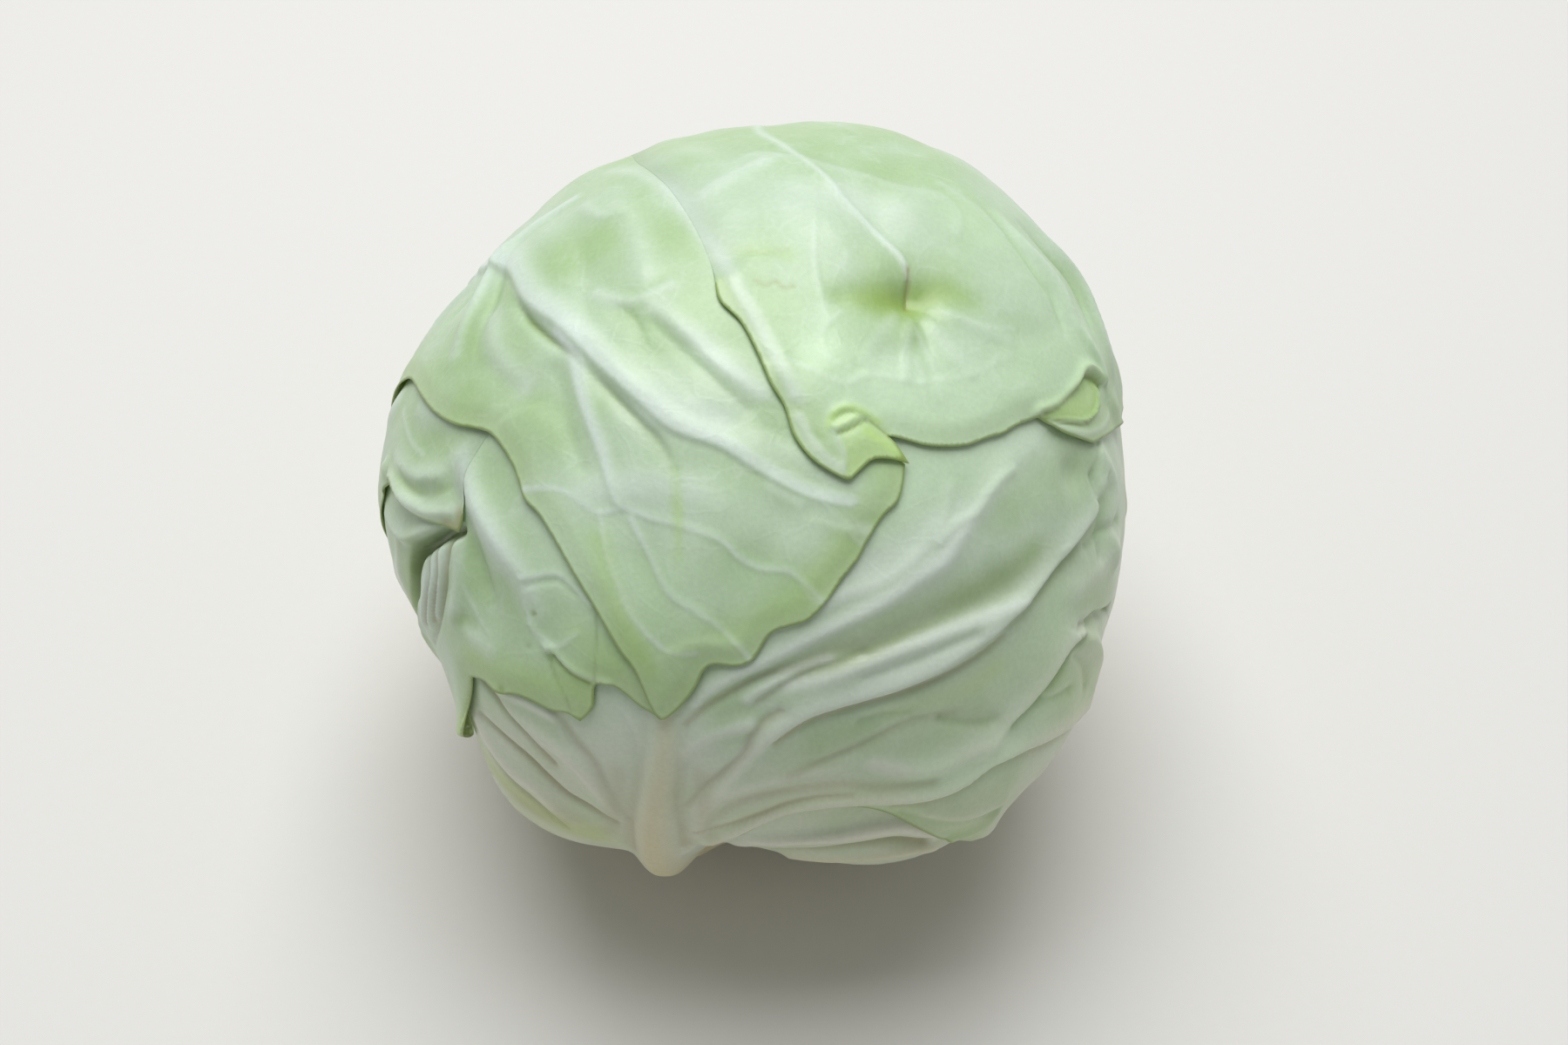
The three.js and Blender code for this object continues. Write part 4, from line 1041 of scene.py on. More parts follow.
MIDDLE_RELIEF = [
    Stroke(MIDDLE_RIB, rise=(2.6, 2, 1.4, 0.9, 0.9, 0.9, 0.9, 0.7, 0.5, 0.2),
        left=(8, 6, 6, 7, 7, 6, 4, 3, 2.4, 1.4), right=(8, 6, 4, 2.4, 1.8, 1.3, 1.2, 1, 0.8),
        power=2.6, spread=1.1, pale=(0.8, 1, 1, 1, 1, 0.9)),
    EDGE_RIB,
    *side_veins(MIDDLE_RIB, 6, 55, seed=5, end=0.42),
    groove((-52.6, 47), (-48, 41.4), (-44.7, 38.2), (-39.6, 33.8), (-35, 30),
        depth=(0.2, 1.2, 1.3, 0.9, 0.2), left=0.5, right=1, olive=(0, 0.8, 0.7, 0.1)),
    groove((-33.8, 28.8), (-27.8, 23), (-20.6, 15.6), (-17.6, 12.6), (-14, 6),
        depth=(0.2, 0.9, 0.9, 0.6, 0.1), left=0.6, right=1.8, olive=(0, 0.4, 0.4, 0)),
    # Folds along the left limb
    fold((-46, 81), (-53, 77), (-61.5, 69.5), (-66.3, 62), (-67.4, 53), (-68.6, 44), (-69, 36),
        rise=(0.3, 1, 1.2, 1.5, 1.6, 1.2, 0.4), left=1.6, right=1.9, pale=(0.9, 0.7, 0.4)),
    groove((-60, 63), (-61.4, 55), (-61.8, 47), (-62.4, 38), depth=(0.3, 0.9, 1, 0.4), left=2.4,
        right=1, deep=0.3),
    groove((-72, 66), (-75.6, 58.6), (-80.5, 52), (-84, 45), depth=(0.4, 1.2, 1.3, 0.5), right=0.6,
        deep=0.4),
    fold((-78, 70), (-84, 64), (-92, 58), (-98, 48), rise=(0.4, 1.2, 1.2, 0.5), left=2.2, pale=0.4),
    fold((-40, 74), (-34, 68), (-26, 66), rise=0.4, left=1.4, pale=0.4),
    vein((-39.5, 36.4), (-36.6, 32), (-34.5, 24.7), (-31.7, 17.3), (-28.7, 10.4), (-26.4, 3.7),
        (-25.5, 1.2), rise=0.6, left=(5, 3.4, 2.4), right=(3, 2, 1.6), pale=(1, 1, 0.9)),
    groove((-40, 28), (-36.5, 18), (-33, 8), left=3, deep=0.25),
    vein((-45.7, 3.9), (-36.8, 3.6), (-28.7, -0.9), (-24.3, -0.1), (-18.5, -2.2), (-13.6, -3.5),
        (-5.7, -6.4), (-2.6, -9.6), (1.3, -11.6), (6.1, -12.2), (12.4, -18), rise=0.28, left=1.3,
        right=0.9, pale=(1, 0.9, 0.9, 0.5)),
    vein((-28.7, -1.2), (-27.1, -9.4), (-25.2, -14.3), (-23.2, -19.2), (-19.2, -24.2), (-16, -26.7),
        (-11.1, -27), rise=0.25, left=1.1, pale=(0.9, 0.7)),
    vein((-22.7, -2.1), (-19.4, -8.6), (-15.6, -15.9), (-10.8, -19.1), (-6.1, -22.8), (-1.1, -28.4),
        rise=0.3, pale=(1, 0.9, 0.6)),
    vein((1.3, -12), (-0.4, -17.6), (-4, -22), rise=0.12, left=0.6, pale=0.3, olive=0.15),
    vein((7.6, -13), (11, -17.6), (14.5, -17.8), rise=0.12, left=0.6, pale=0.4),
    vein((12, 1.2), (17, -5), (20, -8), rise=0.15, left=0.8, pale=0.5),
    fold((-21, 42), (-18.4, 39.4), (-12, 33.2), (-5.3, 26.4), (1.2, 21), rise=(0.3, 0.6, 0.5, 0.2),
        left=2.8, right=1.8, pale=(0.4, 0.8, 0.7)),
    groove((-19, 36.5), (-13, 30), (-6.6, 23.4), (-1, 18), depth=0.4, left=1.6, deep=0.15),
    groove((-26, 41), (-23.5, 38.5), (-21.5, 35), depth=0.3, right=1.4, olive=0.15),
    fold((-32, 45), (-27, 42.5), (-22.5, 42), (-16, 45), rise=0.25, left=1.4, pale=0.5),
    stroke((-14.3, 6.6), (-13.8, 0), (-13.8, -9.4), left=1.1, yellow=(0.2, 0.6, 0.2), deep=0.4),
    groove((-57, 30), (-50, 24), (-42, 20), depth=0.9, left=6, deep=0.25),
    fold((-60, 44), (-55, 34), (-47, 26), rise=0.6, left=3, pale=0.6),
    stroke((-29, -6), (-26, -18), (-20, -30), rise=0.15, left=2.4, deep=0.5, yellow=0.4),
    stroke((-21, -10), (-17, -20), rise=-0.2, left=2.4, deep=0.5),
    stroke((-38, 26), (-30, 20), left=4, deep=0.35),
    stroke((-6, -24), (6, -18), (17, -8), rise=-0.2, left=3.4, deep=0.4, yellow=0.3),
    stroke((10, -1.5), (18, -3.4), (26, -3.6), rise=-0.3, left=1.2, deep=0.7),
    stroke((-33, 2.4), (-18, 4), (-6, 0), rise=0.25, left=3.2, pale=0.6),
    stroke((-26, 26), (-16, 18), (-6, 15), left=5, pale=0.5),
    stroke((4, 3), (12, -2), (20, -5), rise=0.3, pale=0.5),
    stroke((-2, 12), (8, 8), (18, 4), rise=0.2, left=3, pale=0.35),
    fold((-17, -28), (-12, -25.4), (-4, -26), rise=0.5, left=1.6, yellow=0.3, pale=0.3),
    groove((-18.4, -38.4), (-17, -33), (-17.6, -28), depth=0.3, deep=0.2),
    stroke((-45, 55), (-35, 62), left=9, deep=0.3),
    stroke((-14, 36), (-4, 20), (6, 4), left=5, deep=0.25),
    stroke((-62, 42), (-54, 34), (-46, 22), (-38, 14), left=5.5, deep=0.75),
    stroke((-70, 32), (-62, 26), left=5, deep=0.5),
    # painted light: brighter green patches
    stroke((-14, -4), (-4, -2), (8, -5), left=6, pale=0.5, fresh=0.4),
    stroke((-38, -6), (-24, -14), (-6, -16), left=9, fresh=0.75),
    stroke((-58, 22), (-50, 30), left=5, deep=0.3),
    stroke((-28, 52), (-18, 60), (-14, 48), left=5, deep=0.25),
    fold((-30, 70), (-24, 58), (-22, 48), rise=0.5, left=3, pale=0.4),
]

CROWN_RIB = run(globe((172, 168), (173, 130), (175, 92), (177, 55), (176, 32)), front((10, 84.2),
    (18.8, 69.7), (23.8, 62), (27.9, 56.3), (32.1, 51.1), (33.6, 47.6)))
CROWN_OUTLINE = run(globe((-160, 167), (-166, 130), (-164, 80), (-156, 50)), front((-29.3, 93.2),
    (-18.8, 75.3), (-10.4, 57.5), (-7, 47), (-5.9, 40.6), (-1.8, 35.6), (1.4, 28.9), (3.7, 22.7),
    (6.1, 18.4), (7.8, 12.6), (10.6, 8.4), (13.7, 6), (16.9, 4.3), (17.6, 4.3), (19.5, 5.9),
    (22.2, 7.9), (25.5, 8), (29.3, 7.1), (29.3, 7.1), (28.3, 8.8), (27.2, 10.6), (25.7, 12.5),
    (25.7, 12.5), (27.4, 12.2), (29.6, 11.7), (32.8, 10.8), (36.5, 10.5), (42.2, 10.8),
    (46.4, 12.2), (50.8, 13.4), (54.3, 15.2), (60, 17), (60, 17), (64.2, 15.3), (68.2, 14),
    (74.3, 13), (78.5, 12.6), (82.7, 14), (87.5, 15.4)), globe((86, 69), (96, 76), (110, 92),
    (124, 115), (138, 140), (144, 167)))
CROWN_FLUSH = run(globe((-166, 100), (-164, 80), (-156, 50)), front((-29.3, 93.2), (-18.8, 75.3),
    (-10.4, 57.5), (-8, 50)))
CROWN_RELIEF = [
    Stroke(CROWN_RIB, rise=(3.5, 3, 2.4, 1.8, 1, 0.3, 0.15, 0.18, 0.2),
        left=(9, 7, 5, 4, 3, 1.8, 1, 0.75, 0.55), pale=(1, 0.9, 0.8, 0.6, 0.7, 1)),
    *side_veins(CROWN_RIB, 8, 70, seed=6, end=0.7),
    EDGE_RIB,
    vein((15.3, 73.9), (13.5, 49.3), (15.2, 35.3), rise=0.15, left=0.9, pale=0.35),
    fold((-14, 67), (-10, 71), (-3, 76), (4, 80), rise=0.3, left=1.4, right=2.6, power=2, pale=0.5),
    # Dimple with its stains, and the slit in it
    dent((33.8, 42), 1.7, 8),
    dent((33.8, 42), 1, 3.4, deep=0.5),
    groove((33.6, 49), (34, 46), (34, 43.4), (33.6, 41), depth=(0.3, 0.8, 0.4), left=0.4, brown=1,
        olive=0.2),
    fold((30, 38.4), (26, 34), (22, 28), rise=0.22, left=1.1, power=2, pale=0.35),
    fold((33, 37.4), (31.6, 32), (30.4, 24), rise=0.2, left=1, power=2, pale=0.35),
    fold((37, 37.6), (40, 32), (44, 25), rise=0.22, left=1.2, power=2, pale=0.35),
    fold((40, 40), (46, 36), (54, 33), rise=0.2, left=1.2, power=2, pale=0.25),
    groove((28, 36.6), (24, 31.4), (20.6, 26), depth=0.2, left=1.2, power=2, deep=0.3),
    groove((35, 36), (35.4, 30), (36, 24), depth=0.2, left=1.2, power=2, deep=0.3),
    stroke((19, 41.2), (26, 41.4), (33.5, 41.6), rise=-0.5, left=(2.6, 4, 4.4),
        deep=(0.7, 1.6, 1.6), yellow=(0.2, 0.4, 0.5), olive=(0.1, 0.5, 0.6)),
    stroke((34.6, 42.6), (41, 43.6), (47, 41.6), rise=-0.3, left=(4, 3.6, 2.4),
        deep=(1.6, 1.4, 0.5), yellow=(0.4, 0.1), olive=(0.5, 0.3, 0)),
    stroke((33, 39), (31.5, 31), left=3, deep=(1.3, 0.4), olive=(0.2, 0)),
    stroke((12, 66), (24, 66), (34, 62), rise=0.1, left=7, pale=0.35),
    fold((2, 84), (20, 76), (28, 73), (35.7, 69.4), (43.8, 67.9), (46.4, 64.4), (46.5, 59.5),
        rise=0.15, left=0.7, right=2.4, power=2, pale=0.35),
    fold((44, 72), (52, 66), (58, 60), rise=0.15, left=0.8, power=2, pale=0.3),
    fold((74, 45), (76.6, 39.6), (79.6, 35.4), (82.6, 32), (85, 28.6), rise=(0, 0.9, 0.9), left=2,
        right=0.6, pale=0.5),
    groove((52, 70), (62, 57), (66, 50.6), (69.6, 46), (71.2, 41), (71.6, 35),
        depth=(0, 0.7, 0.9, 0.8, 0), right=1.2, deep=(0, 0.7, 0.7, 0)),
    fold((56, 68), (64, 58.4), (69, 53.6), (73, 48), (75.4, 42), (76.4, 36), rise=(0, 1, 1.2, 1, 0),
        left=1, right=1.6, pale=(0, 0.8, 0.8, 0)),
    groove((66, 66), (74, 58.6), (79, 54), (82, 48), (82.6, 41), depth=(0.3, 0.9, 1, 0.5), right=1,
        deep=(0, 0.8, 0.8, 0)),
    fold((66, 74), (76, 64), (84, 56), (87, 48), (89, 40), (92, 34), rise=(0, 1.3, 1.6, 0.6),
        left=1.2, right=1.8, pale=(0, 0.6, 0.6)),
    vein((-0.5, 52.6), (4, 51.4), (8, 52.4), rise=-0.1, left=0.5, pale=0, brown=0.15, deep=0.4),
    vein((1.4, 44.6), (3.4, 43.6), (5.4, 44.4), (7, 43), (9, 43.4), rise=-0.1, left=0.4, pale=0,
        brown=0.3, olive=0.2),
    stroke((-2, 52), (8, 51), left=1.8, deep=0.4, yellow=0.2),
    vein((3.1, 29.8), (9.7, 26.2), (17.9, 22.7), (23.1, 24.5), (33.7, 23), rise=0.2, left=0.9,
        pale=0.5),
    vein((33.7, 23), (44, 25), (54, 30), rise=0.15, left=0.8, pale=0.35),
    vein((33.6, 36), (36, 28), (37, 20), rise=0.15, left=0.8, pale=0.35),
    vein((38, 40), (48, 36), (56, 36), rise=0.15, left=0.8, pale=0.35),
    vein((18, 38), (14, 33), (15, 28), (19, 26), rise=0.12, left=0.6, pale=0.4),
    vein((51, 30), (49, 26), (52, 22), (57, 24), rise=0.12, left=0.6, pale=0.4),
    # painted light: brighter green over the lower crown leaf
    stroke((14, 30), (28, 19), (46, 20), (64, 25), (76, 33), left=10, fresh=0.9),
    stroke((50, 62), (64, 50), (76, 38), left=9, fresh=0.7),
    # First flap: its leaf turned over, with a rolled lip above it
    Patch((16.8, 4.2), (19.4, 5.9), (22.2, 7.9), (25.5, 8), (29, 7.2), (27.8, 9.8), (25.7, 12.3),
        (22.8, 14.6), (20.8, 15.2), (18.4, 13.8), (16.2, 12.9), (17.1, 8.6), rise=-0.1,
        softness=0.4, yellow=0.5),
    stroke((21.5, 13), (24.5, 11), (27.6, 8.4), rise=0.15, left=1.9, yellow=1),
    fold((16.4, 12.4), (17, 10.4), (17.3, 8.3), (17, 5.8), rise=0.25, left=0.5, right=1.6,
        pale=0.4),
    groove((16.6, 12.6), (17.3, 10.4), (17.6, 8.3), (17.3, 5.8), depth=0.22, left=0.25, olive=0.15),
    Patch((14.2, 14.6), (15, 16.2), (17, 17.5), (19.4, 17.4), (21.2, 16.2), (20.4, 15.4),
        (18.6, 14.3), (16.6, 13.4), rise=0.1, softness=0.5, yellow=0.6),
    fold((14.3, 14.2), (14.8, 15.8), (16.4, 17.2), (18.4, 17.6), (20.4, 17.1), (22, 16), (24, 14.8),
        rise=(0.2, 0.55, 0.6, 0.5, 0.1), left=0.9, right=0.4, yellow=0.9),
    groove((15, 15.4), (16.6, 16.6), (18.6, 16.9), (20.4, 16.3), depth=0.4, left=0.35, yellow=1,
        deep=0.7),
    fold((15.6, 13.9), (17.2, 14.5), (18.8, 15.4), (20, 15.9), rise=0.5, left=0.6, pale=0.5),
    # painted shadow under the rolled lip
    groove((15.6, 12.8), (17.6, 13.4), (19.3, 14.3), (21, 15.3), (22.8, 14.8), (24.4, 13.7),
        (26, 12.4), depth=(0.4, 1.1, 1.1, 0.9, 0.9), left=0.3, right=0.4, olive=0.7, deep=1),
    stroke((11.6, 13), (12.6, 12.2), rise=-0.15, left=0.9, deep=0.7),
    fold((9, 16), (11, 11.4), (13.6, 8.2), (16, 6.6), rise=0.4, left=0.9, right=1.4, pale=0.6),
    # Second flap: a scoop under a raised rim, over a narrow strip of the leaf
    Patch((60, 17.3), (65, 19.4), (69, 22), (73, 25), (75.9, 28.2), (78.3, 29), (80.6, 28.7),
        (84, 27), (82.6, 25), (81.4, 22.6), (80.2, 20.8), (77.9, 18.8), (75, 17.7), (68.4, 17.2),
        rise=-1.3, softness=0.45, yellow=0.8),
    stroke((61, 17.2), (66, 17), (71, 17), (75.5, 17.4), (78.2, 18.8), (80.6, 21), (82.2, 24.4),
        rise=1.2, left=2.4, right=0.25),
    fold((60, 17.9), (65, 20), (69, 22.7), (73, 25.8), (75.7, 29), (78.3, 29.9), (81.2, 29.4),
        (84.6, 27.8), rise=(0.3, 0.6, 0.9, 1, 0.8), left=1, right=0.3, pale=0.4, yellow=0.3),
    # painted shadow along the inner edge of the rim
    stroke((60.5, 17.5), (65, 19.2), (69, 21.8), (73, 24.8), (75.9, 27.8), (78.3, 28.6), (81, 28.2),
        (83.6, 26.8), rise=-0.3, left=0.5, olive=(0.5, 0.4, 0.8, 0.9), deep=1),
    stroke((80.6, 26.8), (80.4, 22.8), (78.4, 20), rise=-0.25, left=1, deep=1, yellow=0.9),
    stroke((77.8, 27), (77, 21.6), rise=0.2, left=0.7, pale=0.5),
    # painted shadow under the rim
    groove((61, 16.9), (66, 16.6), (71, 16.5), (75.5, 16.9), (78.6, 18.4),
        depth=(0.4, 0.9, 0.7, 0.2), left=0.3, right=0.4, olive=0.85, deep=0.6),
    fold((64, 15.8), (70, 14.8), (76, 14.6), (84, 17), (88, 20), rise=0.6, left=0.8, pale=0.5),
]

LEAVES = [
    Leaf("rear_leaf", (131, 80), REAR_OUTLINE, REAR_RELIEF, "pale_leaf"),
    Leaf("under_leaf", (35, 110), UNDER_OUTLINE, UNDER_RELIEF, "pale_leaf"),
    Leaf("right_leaf", (87, 90), RIGHT_OUTLINE, RIGHT_RELIEF, "pale_leaf"),
    Leaf("front_leaf", (5, 85), FRONT_OUTLINE, FRONT_RELIEF, "pale_leaf", flush=FRONT_FLUSH),
    Leaf("left_leaf", (-70, 85), LEFT_OUTLINE, LEFT_RELIEF, "green_leaf"),
    Leaf("side_leaf", (-105, 80), SIDE_OUTLINE, SIDE_RELIEF, "green_leaf", flush=SIDE_FLUSH),
    Leaf("middle_leaf", (-115, 65), MIDDLE_OUTLINE, MIDDLE_RELIEF, "green_leaf"),
    Leaf("crown_leaf", (170, 55), CROWN_OUTLINE, CROWN_RELIEF, "green_leaf", flush=CROWN_FLUSH),
]


# ---------------------------------------------------------------- heart and stalk


def build_heart():
    """The inner leaves as one round body, drawn in to fit under the wrapper leaves."""
    bpy.ops.mesh.primitive_ico_sphere_add(subdivisions=7, radius=1)
    made = bpy.context.object
    made.name = "heart_look"
    mesh = made.data
    directions = np.zeros(len(mesh.vertices) * 3)
    mesh.vertices.foreach_get("co", directions)
    directions = unit(directions.reshape(-1, 3))
    relief = 0.8 * noise(directions, BROAD_LUMP, seed=1) + 0.3 * noise(directions, LUMP, seed=2)
    relief = under_covers(directions, relief, LEAVES)
    radius = heart_radius(directions) + relief
    mesh.vertices.foreach_set("co", to_metres(directions, radius).ravel())
    mesh.polygons.foreach_set("use_smooth", np.ones(len(mesh.polygons), bool))
    mesh.update()
    return made


# Radius and height, from the middle of the cut face over its rim to the hidden top
STALK_PROFILE = (
    (0, 0.9), (4, 0.8), (8, 0.5), (11, 0.25), (13.5, 0.1), (15.5, 0), (16.6, 0.3), (17.2, 1.2),
    (17.6, 3), (18.4, 6), (19.4, 9), (19.8, 13), (19, 18), (17, 21.5), (12, 22), (5, 22), (0, 22),
)
STALK_RIM = 5.5  # the place in the profile where the cut face ends
STALK_SIDES = 240
STALK_ROWS = 9
BUNDLES = 34
BUNDLE_RADIUS = 12.6


def build_stalk():
    """The cut stalk: a slightly hollow face with a ring of fibre bundles, and scarred sides."""
    profile = np.array(STALK_PROFILE)
    knots = np.arange(len(profile))
    finer = np.linspace(0, len(profile) - 1, (len(profile) - 1) * STALK_ROWS + 1)[1:-1]
    radius = np.interp(finer, knots, profile[:, 0])
    height = np.interp(finer, knots, profile[:, 1])
    turn = np.linspace(0, 2 * np.pi, STALK_SIDES, endpoint=False)
    r, angle = np.meshgrid(radius, turn, indexing="ij")
    z = np.repeat(height[:, None], STALK_SIDES, axis=1)
    on_face = np.repeat((finer < STALK_RIM)[:, None], STALK_SIDES, axis=1)
    around = columns(np.sin(angle), -np.cos(angle), z / 30).reshape(-1, 3)
    wobble = noise(around, 22, seed=8).reshape(r.shape)
    scars = noise(around * np.array([1, 1, 4]), 14, seed=9).reshape(r.shape)
    bundle = gauss(r - BUNDLE_RADIUS - 0.6 * wobble, 1.1) * np.cos(BUNDLES * angle / 2) ** 2
    z = z + np.where(on_face, 0.22 * bundle + 0.08 * (1 + np.sin(r * 2.4 + 3 * wobble)), 0)
    r = r + np.where(on_face, 0, 0.5 * wobble + 0.35 * scars) * smooth(14, 17, r)
    rings = columns(r * np.sin(angle), -r * np.cos(angle), np.maximum(z, 0)).reshape(-1, 3)
    ends = np.array([[0, 0, profile[0, 1]], [0, 0, profile[-1, 1]]])
    here = np.arange(STALK_SIDES)
    following = (here + 1) % STALK_SIDES
    faces = []
    last = (len(finer) - 1) * STALK_SIDES
    for low in range(0, last, STALK_SIDES):
        high = low + STALK_SIDES
        faces.append(columns(low + here, low + following, high + following))
        faces.append(columns(low + here, high + following, high + here))
    bottom, top = np.full_like(here, len(rings)), np.full_like(here, len(rings) + 1)
    faces.append(columns(bottom, following, here))
    faces.append(columns(top, last + here, last + following))
    tints = {
        "bundle": np.append(bundle * on_face, [0, 0]),
        "face": np.append(on_face, [1, 0]),
    }
    vertices = np.concatenate([rings, ends]) * MM
    return new_object("stalk_look", vertices, np.concatenate(faces), tints)


# ---------------------------------------------------------------- materials


class Shader:
    """A material's node tree, with short ways to make and join its nodes."""

    def __init__(self, name):
        self.material = bpy.data.materials.new(name)
        self.material.use_nodes = True
        self.nodes = self.material.node_tree.nodes
        self.nodes.clear()
        self.place = self.add("ShaderNodeTexCoord").outputs["Object"]

    def join(self, socket, value):
        if isinstance(value, bpy.types.NodeSocket):
            self.material.node_tree.links.new(value, socket)
        elif isinstance(value, tuple):
            socket.default_value = (*value, 1.0)[: len(socket.default_value)]
        else:
            socket.default_value = value

    def add(self, kind, inputs=(), **settings):
        node = self.nodes.new(kind)
        for key, value in settings.items():
            setattr(node, key, value)
        for key, value in dict(inputs).items():
            self.join(node.inputs[key], value)
        return node

    def mark(self, name):
        return self.add("ShaderNodeAttribute", attribute_name=name).outputs["Fac"]

    def math(self, operation, first, second, clamp=False):
        settings = {"operation": operation, "use_clamp": clamp}
        return self.add("ShaderNodeMath", {0: first, 1: second}, **settings).outputs[0]

    def vector(self, operation, inputs):
        return self.add("ShaderNodeVectorMath", inputs, operation=operation).outputs[0]

    def ramp(self, value, low, high, start=0.0, end=1.0):
        inputs = {"Value": value, "From Min": low, "From Max": high, "To Min": start, "To Max": end}
        settings = {"interpolation_type": "SMOOTHSTEP"}
        return self.add("ShaderNodeMapRange", inputs, **settings).outputs["Result"]

    def mix(self, share, first, second, blend="MIX"):
        inputs = {"Factor": share, 6: first, 7: second}
        settings = {"data_type": "RGBA", "blend_type": blend}
        return self.add("ShaderNodeMix", inputs, **settings).outputs[2]

    def noise(self, size, detail=3.0, roughness=0.55):
        inputs = {"Vector": self.place, "Scale": 1 / (size * MM)}
        inputs |= {"Detail": detail, "Roughness": roughness}
        return self.add("ShaderNodeTexNoise", inputs).outputs["Fac"]

    def warped(self, size, amount):
        """The place, shaken by noise of one size by an amount, both in millimetres."""
        inputs = {"Vector": self.place, "Scale": 1 / (size * MM), "Detail": 2.0}
        shake = self.add("ShaderNodeTexNoise", inputs).outputs["Color"]
        shift = self.vector("SUBTRACT", {0: shake, 1: (0.5, 0.5, 0.5)})
        shift = self.vector("SCALE", {0: shift, "Scale": amount * MM})
        return self.vector("ADD", {0: self.place, 1: shift})

    def cracks(self, size, width, place):
        """1 on the borders of cells of a size, fading over a width, both in millimetres."""
        inputs = {"Vector": place, "Scale": 1 / (size * MM)}
        edge = self.add("ShaderNodeTexVoronoi", inputs, feature="DISTANCE_TO_EDGE")
        return self.ramp(edge.outputs["Distance"], 0.0, width / size, 1.0, 0.0)

    def bump(self, height, distance, strength):
        inputs = {"Height": height, "Distance": distance * MM, "Strength": strength}
        return self.add("ShaderNodeBump", inputs).outputs["Normal"]

    def finish(self, colour, roughness, normal, **sockets):
        inputs = {"Base Color": colour, "Roughness": roughness, "Normal": normal, **sockets}
        shader = self.add("ShaderNodeBsdfPrincipled", inputs)
        output = self.add("ShaderNodeOutputMaterial")
        self.join(output.inputs["Surface"], shader.outputs[0])
        return self.material


GREEN = (0.43, 0.61, 0.33)
SOFT_GREEN = (0.54, 0.70, 0.50)
TENDER = (0.49, 0.68, 0.29)
# The leaf's white, bright and bluish, so that fold crests also carry a painted highlight
WHITE = (0.74, 0.86, 0.78)
# The warm white and the foot's brownish tone: partly the cream of the head's foot, partly painted
# warm bounce light and shade near the floor
WARM_WHITE = (0.78, 0.77, 0.64)
FOOT_AND_SHADE = (0.58, 0.48, 0.25)
INSIDE = (0.58, 0.71, 0.40)
STALK_SIDE = ((0.66, 0.70, 0.52), (0.56, 0.60, 0.38))
STALK_FACE = ((0.70, 0.68, 0.52), (0.60, 0.55, 0.38))
STALK_FIBRE = (0.42, 0.44, 0.22)
STALK_SPECK = (0.50, 0.42, 0.26)


def leaf_material(name, paleness):
    """Waxy cabbage leaf: mottled green that pales towards the veins and the foot; its tints also
    hold painted light, shade and highlights.
    """
    shader = Shader(name)
    broad = shader.noise(30, detail=2)
    patchy = shader.noise(9, detail=4, roughness=0.6)
    speckle = shader.noise(0.9, detail=2)
    low = shader.mark("white")
    # Whites turn warm, then brownish, low on the head: partly the foot's own cream, partly painted
    # bounce light and shade
    warmth = shader.ramp(low, 0.03 - 0.5 * paleness, 0.32 - 0.5 * paleness)
    white = shader.mix(warmth, WHITE, WARM_WHITE)
    white = shader.mix(shader.ramp(low, 0.40, 0.49, 0.0, 0.7), white, FOOT_AND_SHADE)
    colour = shader.mix(shader.ramp(broad, 0.32, 0.68), SOFT_GREEN, GREEN)
    whiteness = shader.math("ADD", low, paleness)
    mottle = shader.ramp(patchy, 0.3, 0.7, -0.12, 0.12)
    whiteness = shader.math("ADD", whiteness, mottle, clamp=True)
    colour = shader.mix(whiteness, colour, white)
    place = shader.warped(6, 3.0)
    net = shader.cracks(8, 0.6, place)
    fine_net = shader.cracks(2.6, 0.35, place)
    net_strength = shader.math("MULTIPLY", net, shader.ramp(patchy, 0.35, 0.7, 0.0, 0.16))
    colour = shader.mix(net_strength, colour, white)
    colour = shader.mix(shader.math("MULTIPLY", fine_net, 0.04), colour, white)
    near_margin = shader.ramp(shader.mark("margin"), 0.0, 9.0, 0.45, 0.0)
    colour = shader.mix(near_margin, colour, TENDER)
    for mark, (strength, tint) in TINTS.items():
        share = shader.math("MULTIPLY", shader.mark(mark), strength)
        colour = shader.mix(share, colour, tint or white)
    # The lowest places turn brownish: partly the foot's own colour, partly painted shade
    colour = shader.mix(shader.ramp(low, 0.42, 0.49, 0.0, 0.35), colour, FOOT_AND_SHADE)
    colour = shader.mix(shader.mark("inside"), colour, INSIDE)
    # A dull green rim along the margin: partly the leaf's greener edge, partly a painted contact
    # shadow
    rim = shader.ramp(shader.mark("margin"), 0.05, 0.7, 0.7, 0.0)
    colour = shader.mix(rim, colour, TINTS["olive"][1])
    tone = shader.ramp(speckle, 0.3, 0.7, 0.97, 1.02)
    tone = shader.add("ShaderNodeCombineColor", {0: tone, 1: tone, 2: tone}).outputs[0]
    colour = shader.mix(1.0, colour, tone, blend="MULTIPLY")
    roughness = shader.ramp(patchy, 0.3, 0.7, 0.30, 0.44)
    height = shader.math("MULTIPLY", net, 0.35)
    for part, share in ((fine_net, 0.12), (speckle, 0.35)):
        height = shader.math("ADD", height, shader.math("MULTIPLY", part, share))
    height = shader.math("ADD", height, shader.noise(4))
    sockets = {
        "Specular IOR Level": 0.5,
        "Subsurface Weight": 0.18,
        "Subsurface Radius": (1.0, 1.2, 0.6),
        "Subsurface Scale": 0.0025,
    }
    return shader.finish(colour, roughness, shader.bump(height, 0.08, 0.5), **sockets)


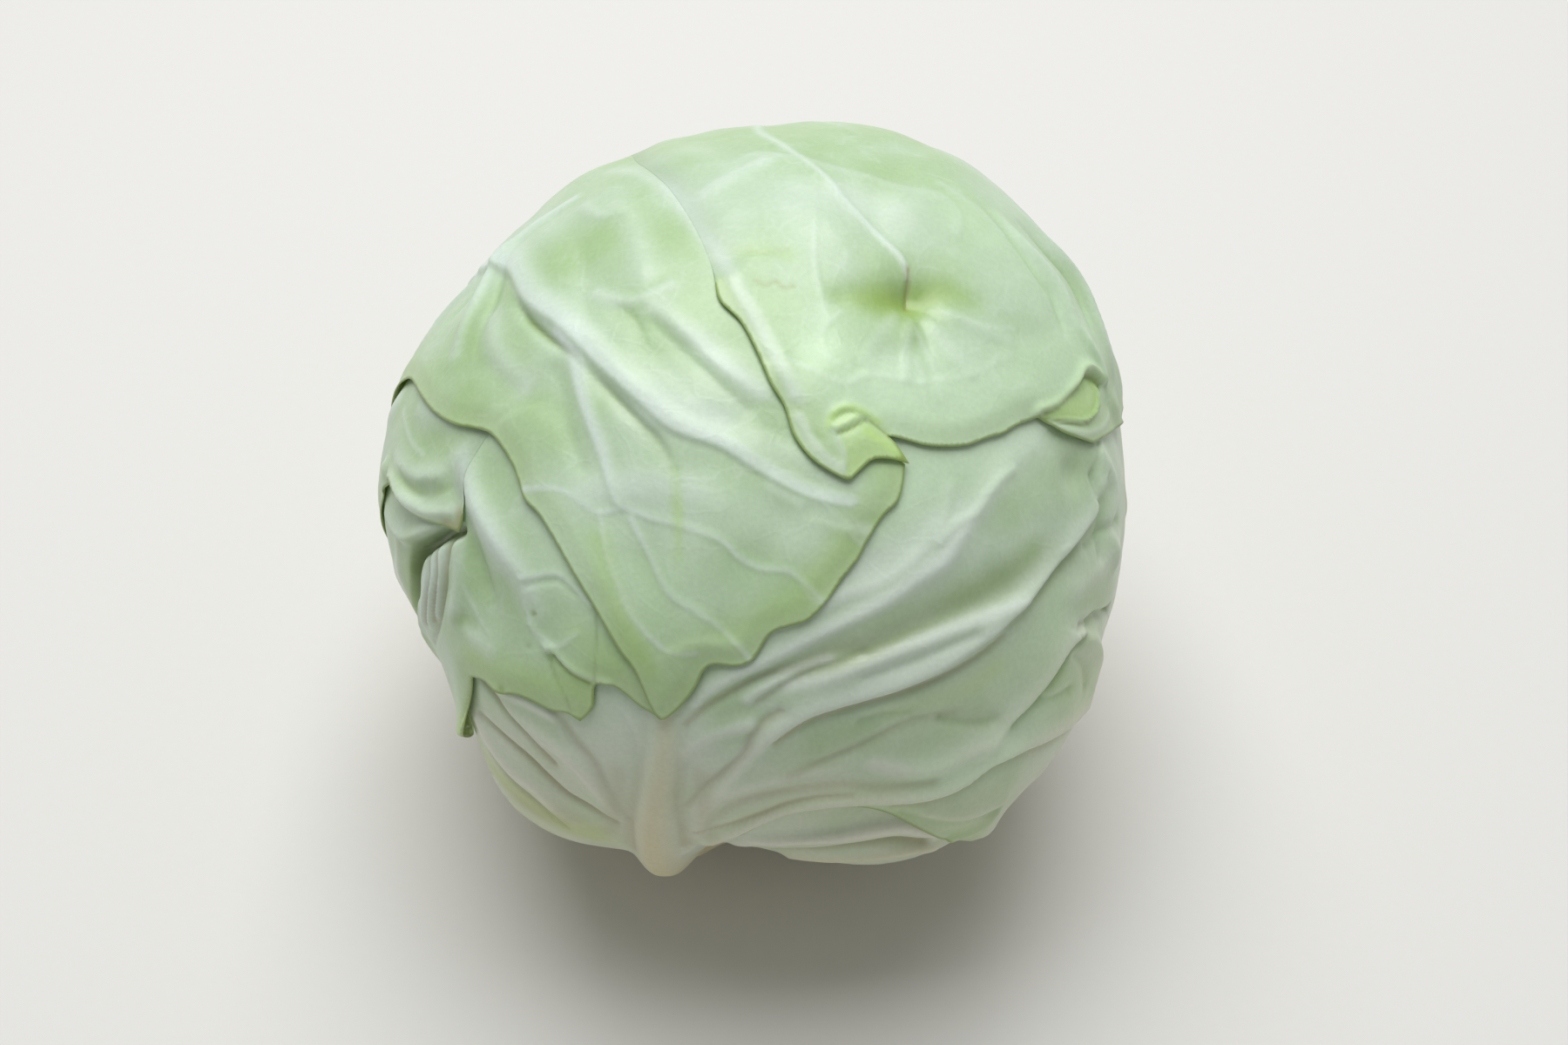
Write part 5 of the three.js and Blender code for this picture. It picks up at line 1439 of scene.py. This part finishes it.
def stalk_material():
    """Cut stalk: a moist cream face with darker fibre bundles, and paler scarred sides."""
    shader = Shader("stalk_flesh")
    broad = shader.noise(9, detail=4)
    fine = shader.noise(0.8)
    side = shader.mix(shader.ramp(broad, 0.35, 0.65), *STALK_SIDE)
    face = shader.mix(shader.ramp(broad, 0.35, 0.65), *STALK_FACE)
    colour = shader.mix(shader.mark("face"), side, face)
    bundles = shader.math("MULTIPLY", shader.mark("bundle"), 0.7)
    colour = shader.mix(bundles, colour, STALK_FIBRE)
    colour = shader.mix(shader.ramp(fine, 0.45, 0.8, 0.0, 0.3), colour, STALK_SPECK)
    height = shader.math("ADD", fine, shader.noise(2.5))
    normal = shader.bump(height, 0.2, 0.6)
    return shader.finish(colour, shader.ramp(broad, 0.3, 0.7, 0.5, 0.7), normal)


# ---------------------------------------------------------------- pieces

stack_leaves()

looks = {
    "pale_leaf": leaf_material("pale_leaf_skin", 0.2),
    "green_leaf": leaf_material("green_leaf_skin", 0.0),
    "inner_leaf": leaf_material("inner_leaf_skin", 0.35),
    "stalk": stalk_material(),
}

pieces = [(build_stalk(), "stalk", "stalk"), (build_heart(), "heart", "inner_leaf")]
pieces += [(build_leaf(leaf), leaf.name, leaf.slot) for leaf in LEAVES]
for piece, node, slot in pieces:
    piece.data.materials.append(looks[slot])
    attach(piece, "root")
    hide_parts(node)

# ---------------------------------------------------------------- floor, light and camera

FLOOR_COLOUR = (0.78, 0.77, 0.75)
FLOOR_GRAIN = (0.70, 0.69, 0.67)
FLOOR_SIZE = 6.0
BACKDROP = (0.86, 0.86, 0.85)
SKY = (0.26, 0.265, 0.255)
LAMP_PLACE = Vector((-0.04, 0.42, 1.45))
LAMP_POWER = 22.3
LAMP_SIZE = 1.2

bpy.ops.mesh.primitive_plane_add(size=FLOOR_SIZE)
floor = bpy.context.object
floor.name = "floor"
paper = Shader("floor_paper")
grain = paper.ramp(paper.noise(3, detail=4), 0.3, 0.7, 0.0, 0.06)
grain = paper.mix(grain, FLOOR_COLOUR, FLOOR_GRAIN)
floor.data.materials.append(paper.finish(grain, 0.9, paper.bump(paper.noise(1), 0.05, 0.3)))

world = bpy.data.worlds.new("studio")
bpy.context.scene.world = world
world.use_nodes = True
tree = world.node_tree
background = tree.nodes["Background"]
background.inputs["Strength"].default_value = 1.0
rays = tree.nodes.new("ShaderNodeLightPath")
sky = tree.nodes.new("ShaderNodeMix")
sky.data_type = "RGBA"
sky.inputs[6].default_value = (*SKY, 1)
sky.inputs[7].default_value = (*BACKDROP, 1)
tree.links.new(rays.outputs["Is Camera Ray"], sky.inputs["Factor"])
tree.links.new(sky.outputs[2], background.inputs["Color"])

light = bpy.data.lights.new("overhead", "AREA")
light.energy = LAMP_POWER
light.size = LAMP_SIZE
lamp = bpy.data.objects.new("overhead", light)
lamp.location = LAMP_PLACE
aim = Vector((0, 0, HEAD_MIDDLE * MM)) - LAMP_PLACE
lamp.rotation_euler = aim.to_track_quat("-Z", "Y").to_euler()
bpy.context.scene.collection.objects.link(lamp)

camera = bpy.data.cameras.new("camera")
camera.lens = LENS
camera.sensor_width = SENSOR
viewer = bpy.data.objects.new("camera", camera)
tilt = np.radians(CAMERA_ELEVATION)
back = CAMERA_DISTANCE * np.cos(tilt)
height = CAMERA_AIM_HEIGHT + CAMERA_DISTANCE * np.sin(tilt)
viewer.location = (0, -back * MM, height * MM)
viewer.rotation_euler = np.radians((90 + CAMERA_PITCH, 0, -CAMERA_HEADING))
bpy.context.scene.collection.objects.link(viewer)
bpy.context.scene.camera = viewer
bpy.context.scene.view_settings.view_transform = "Standard"
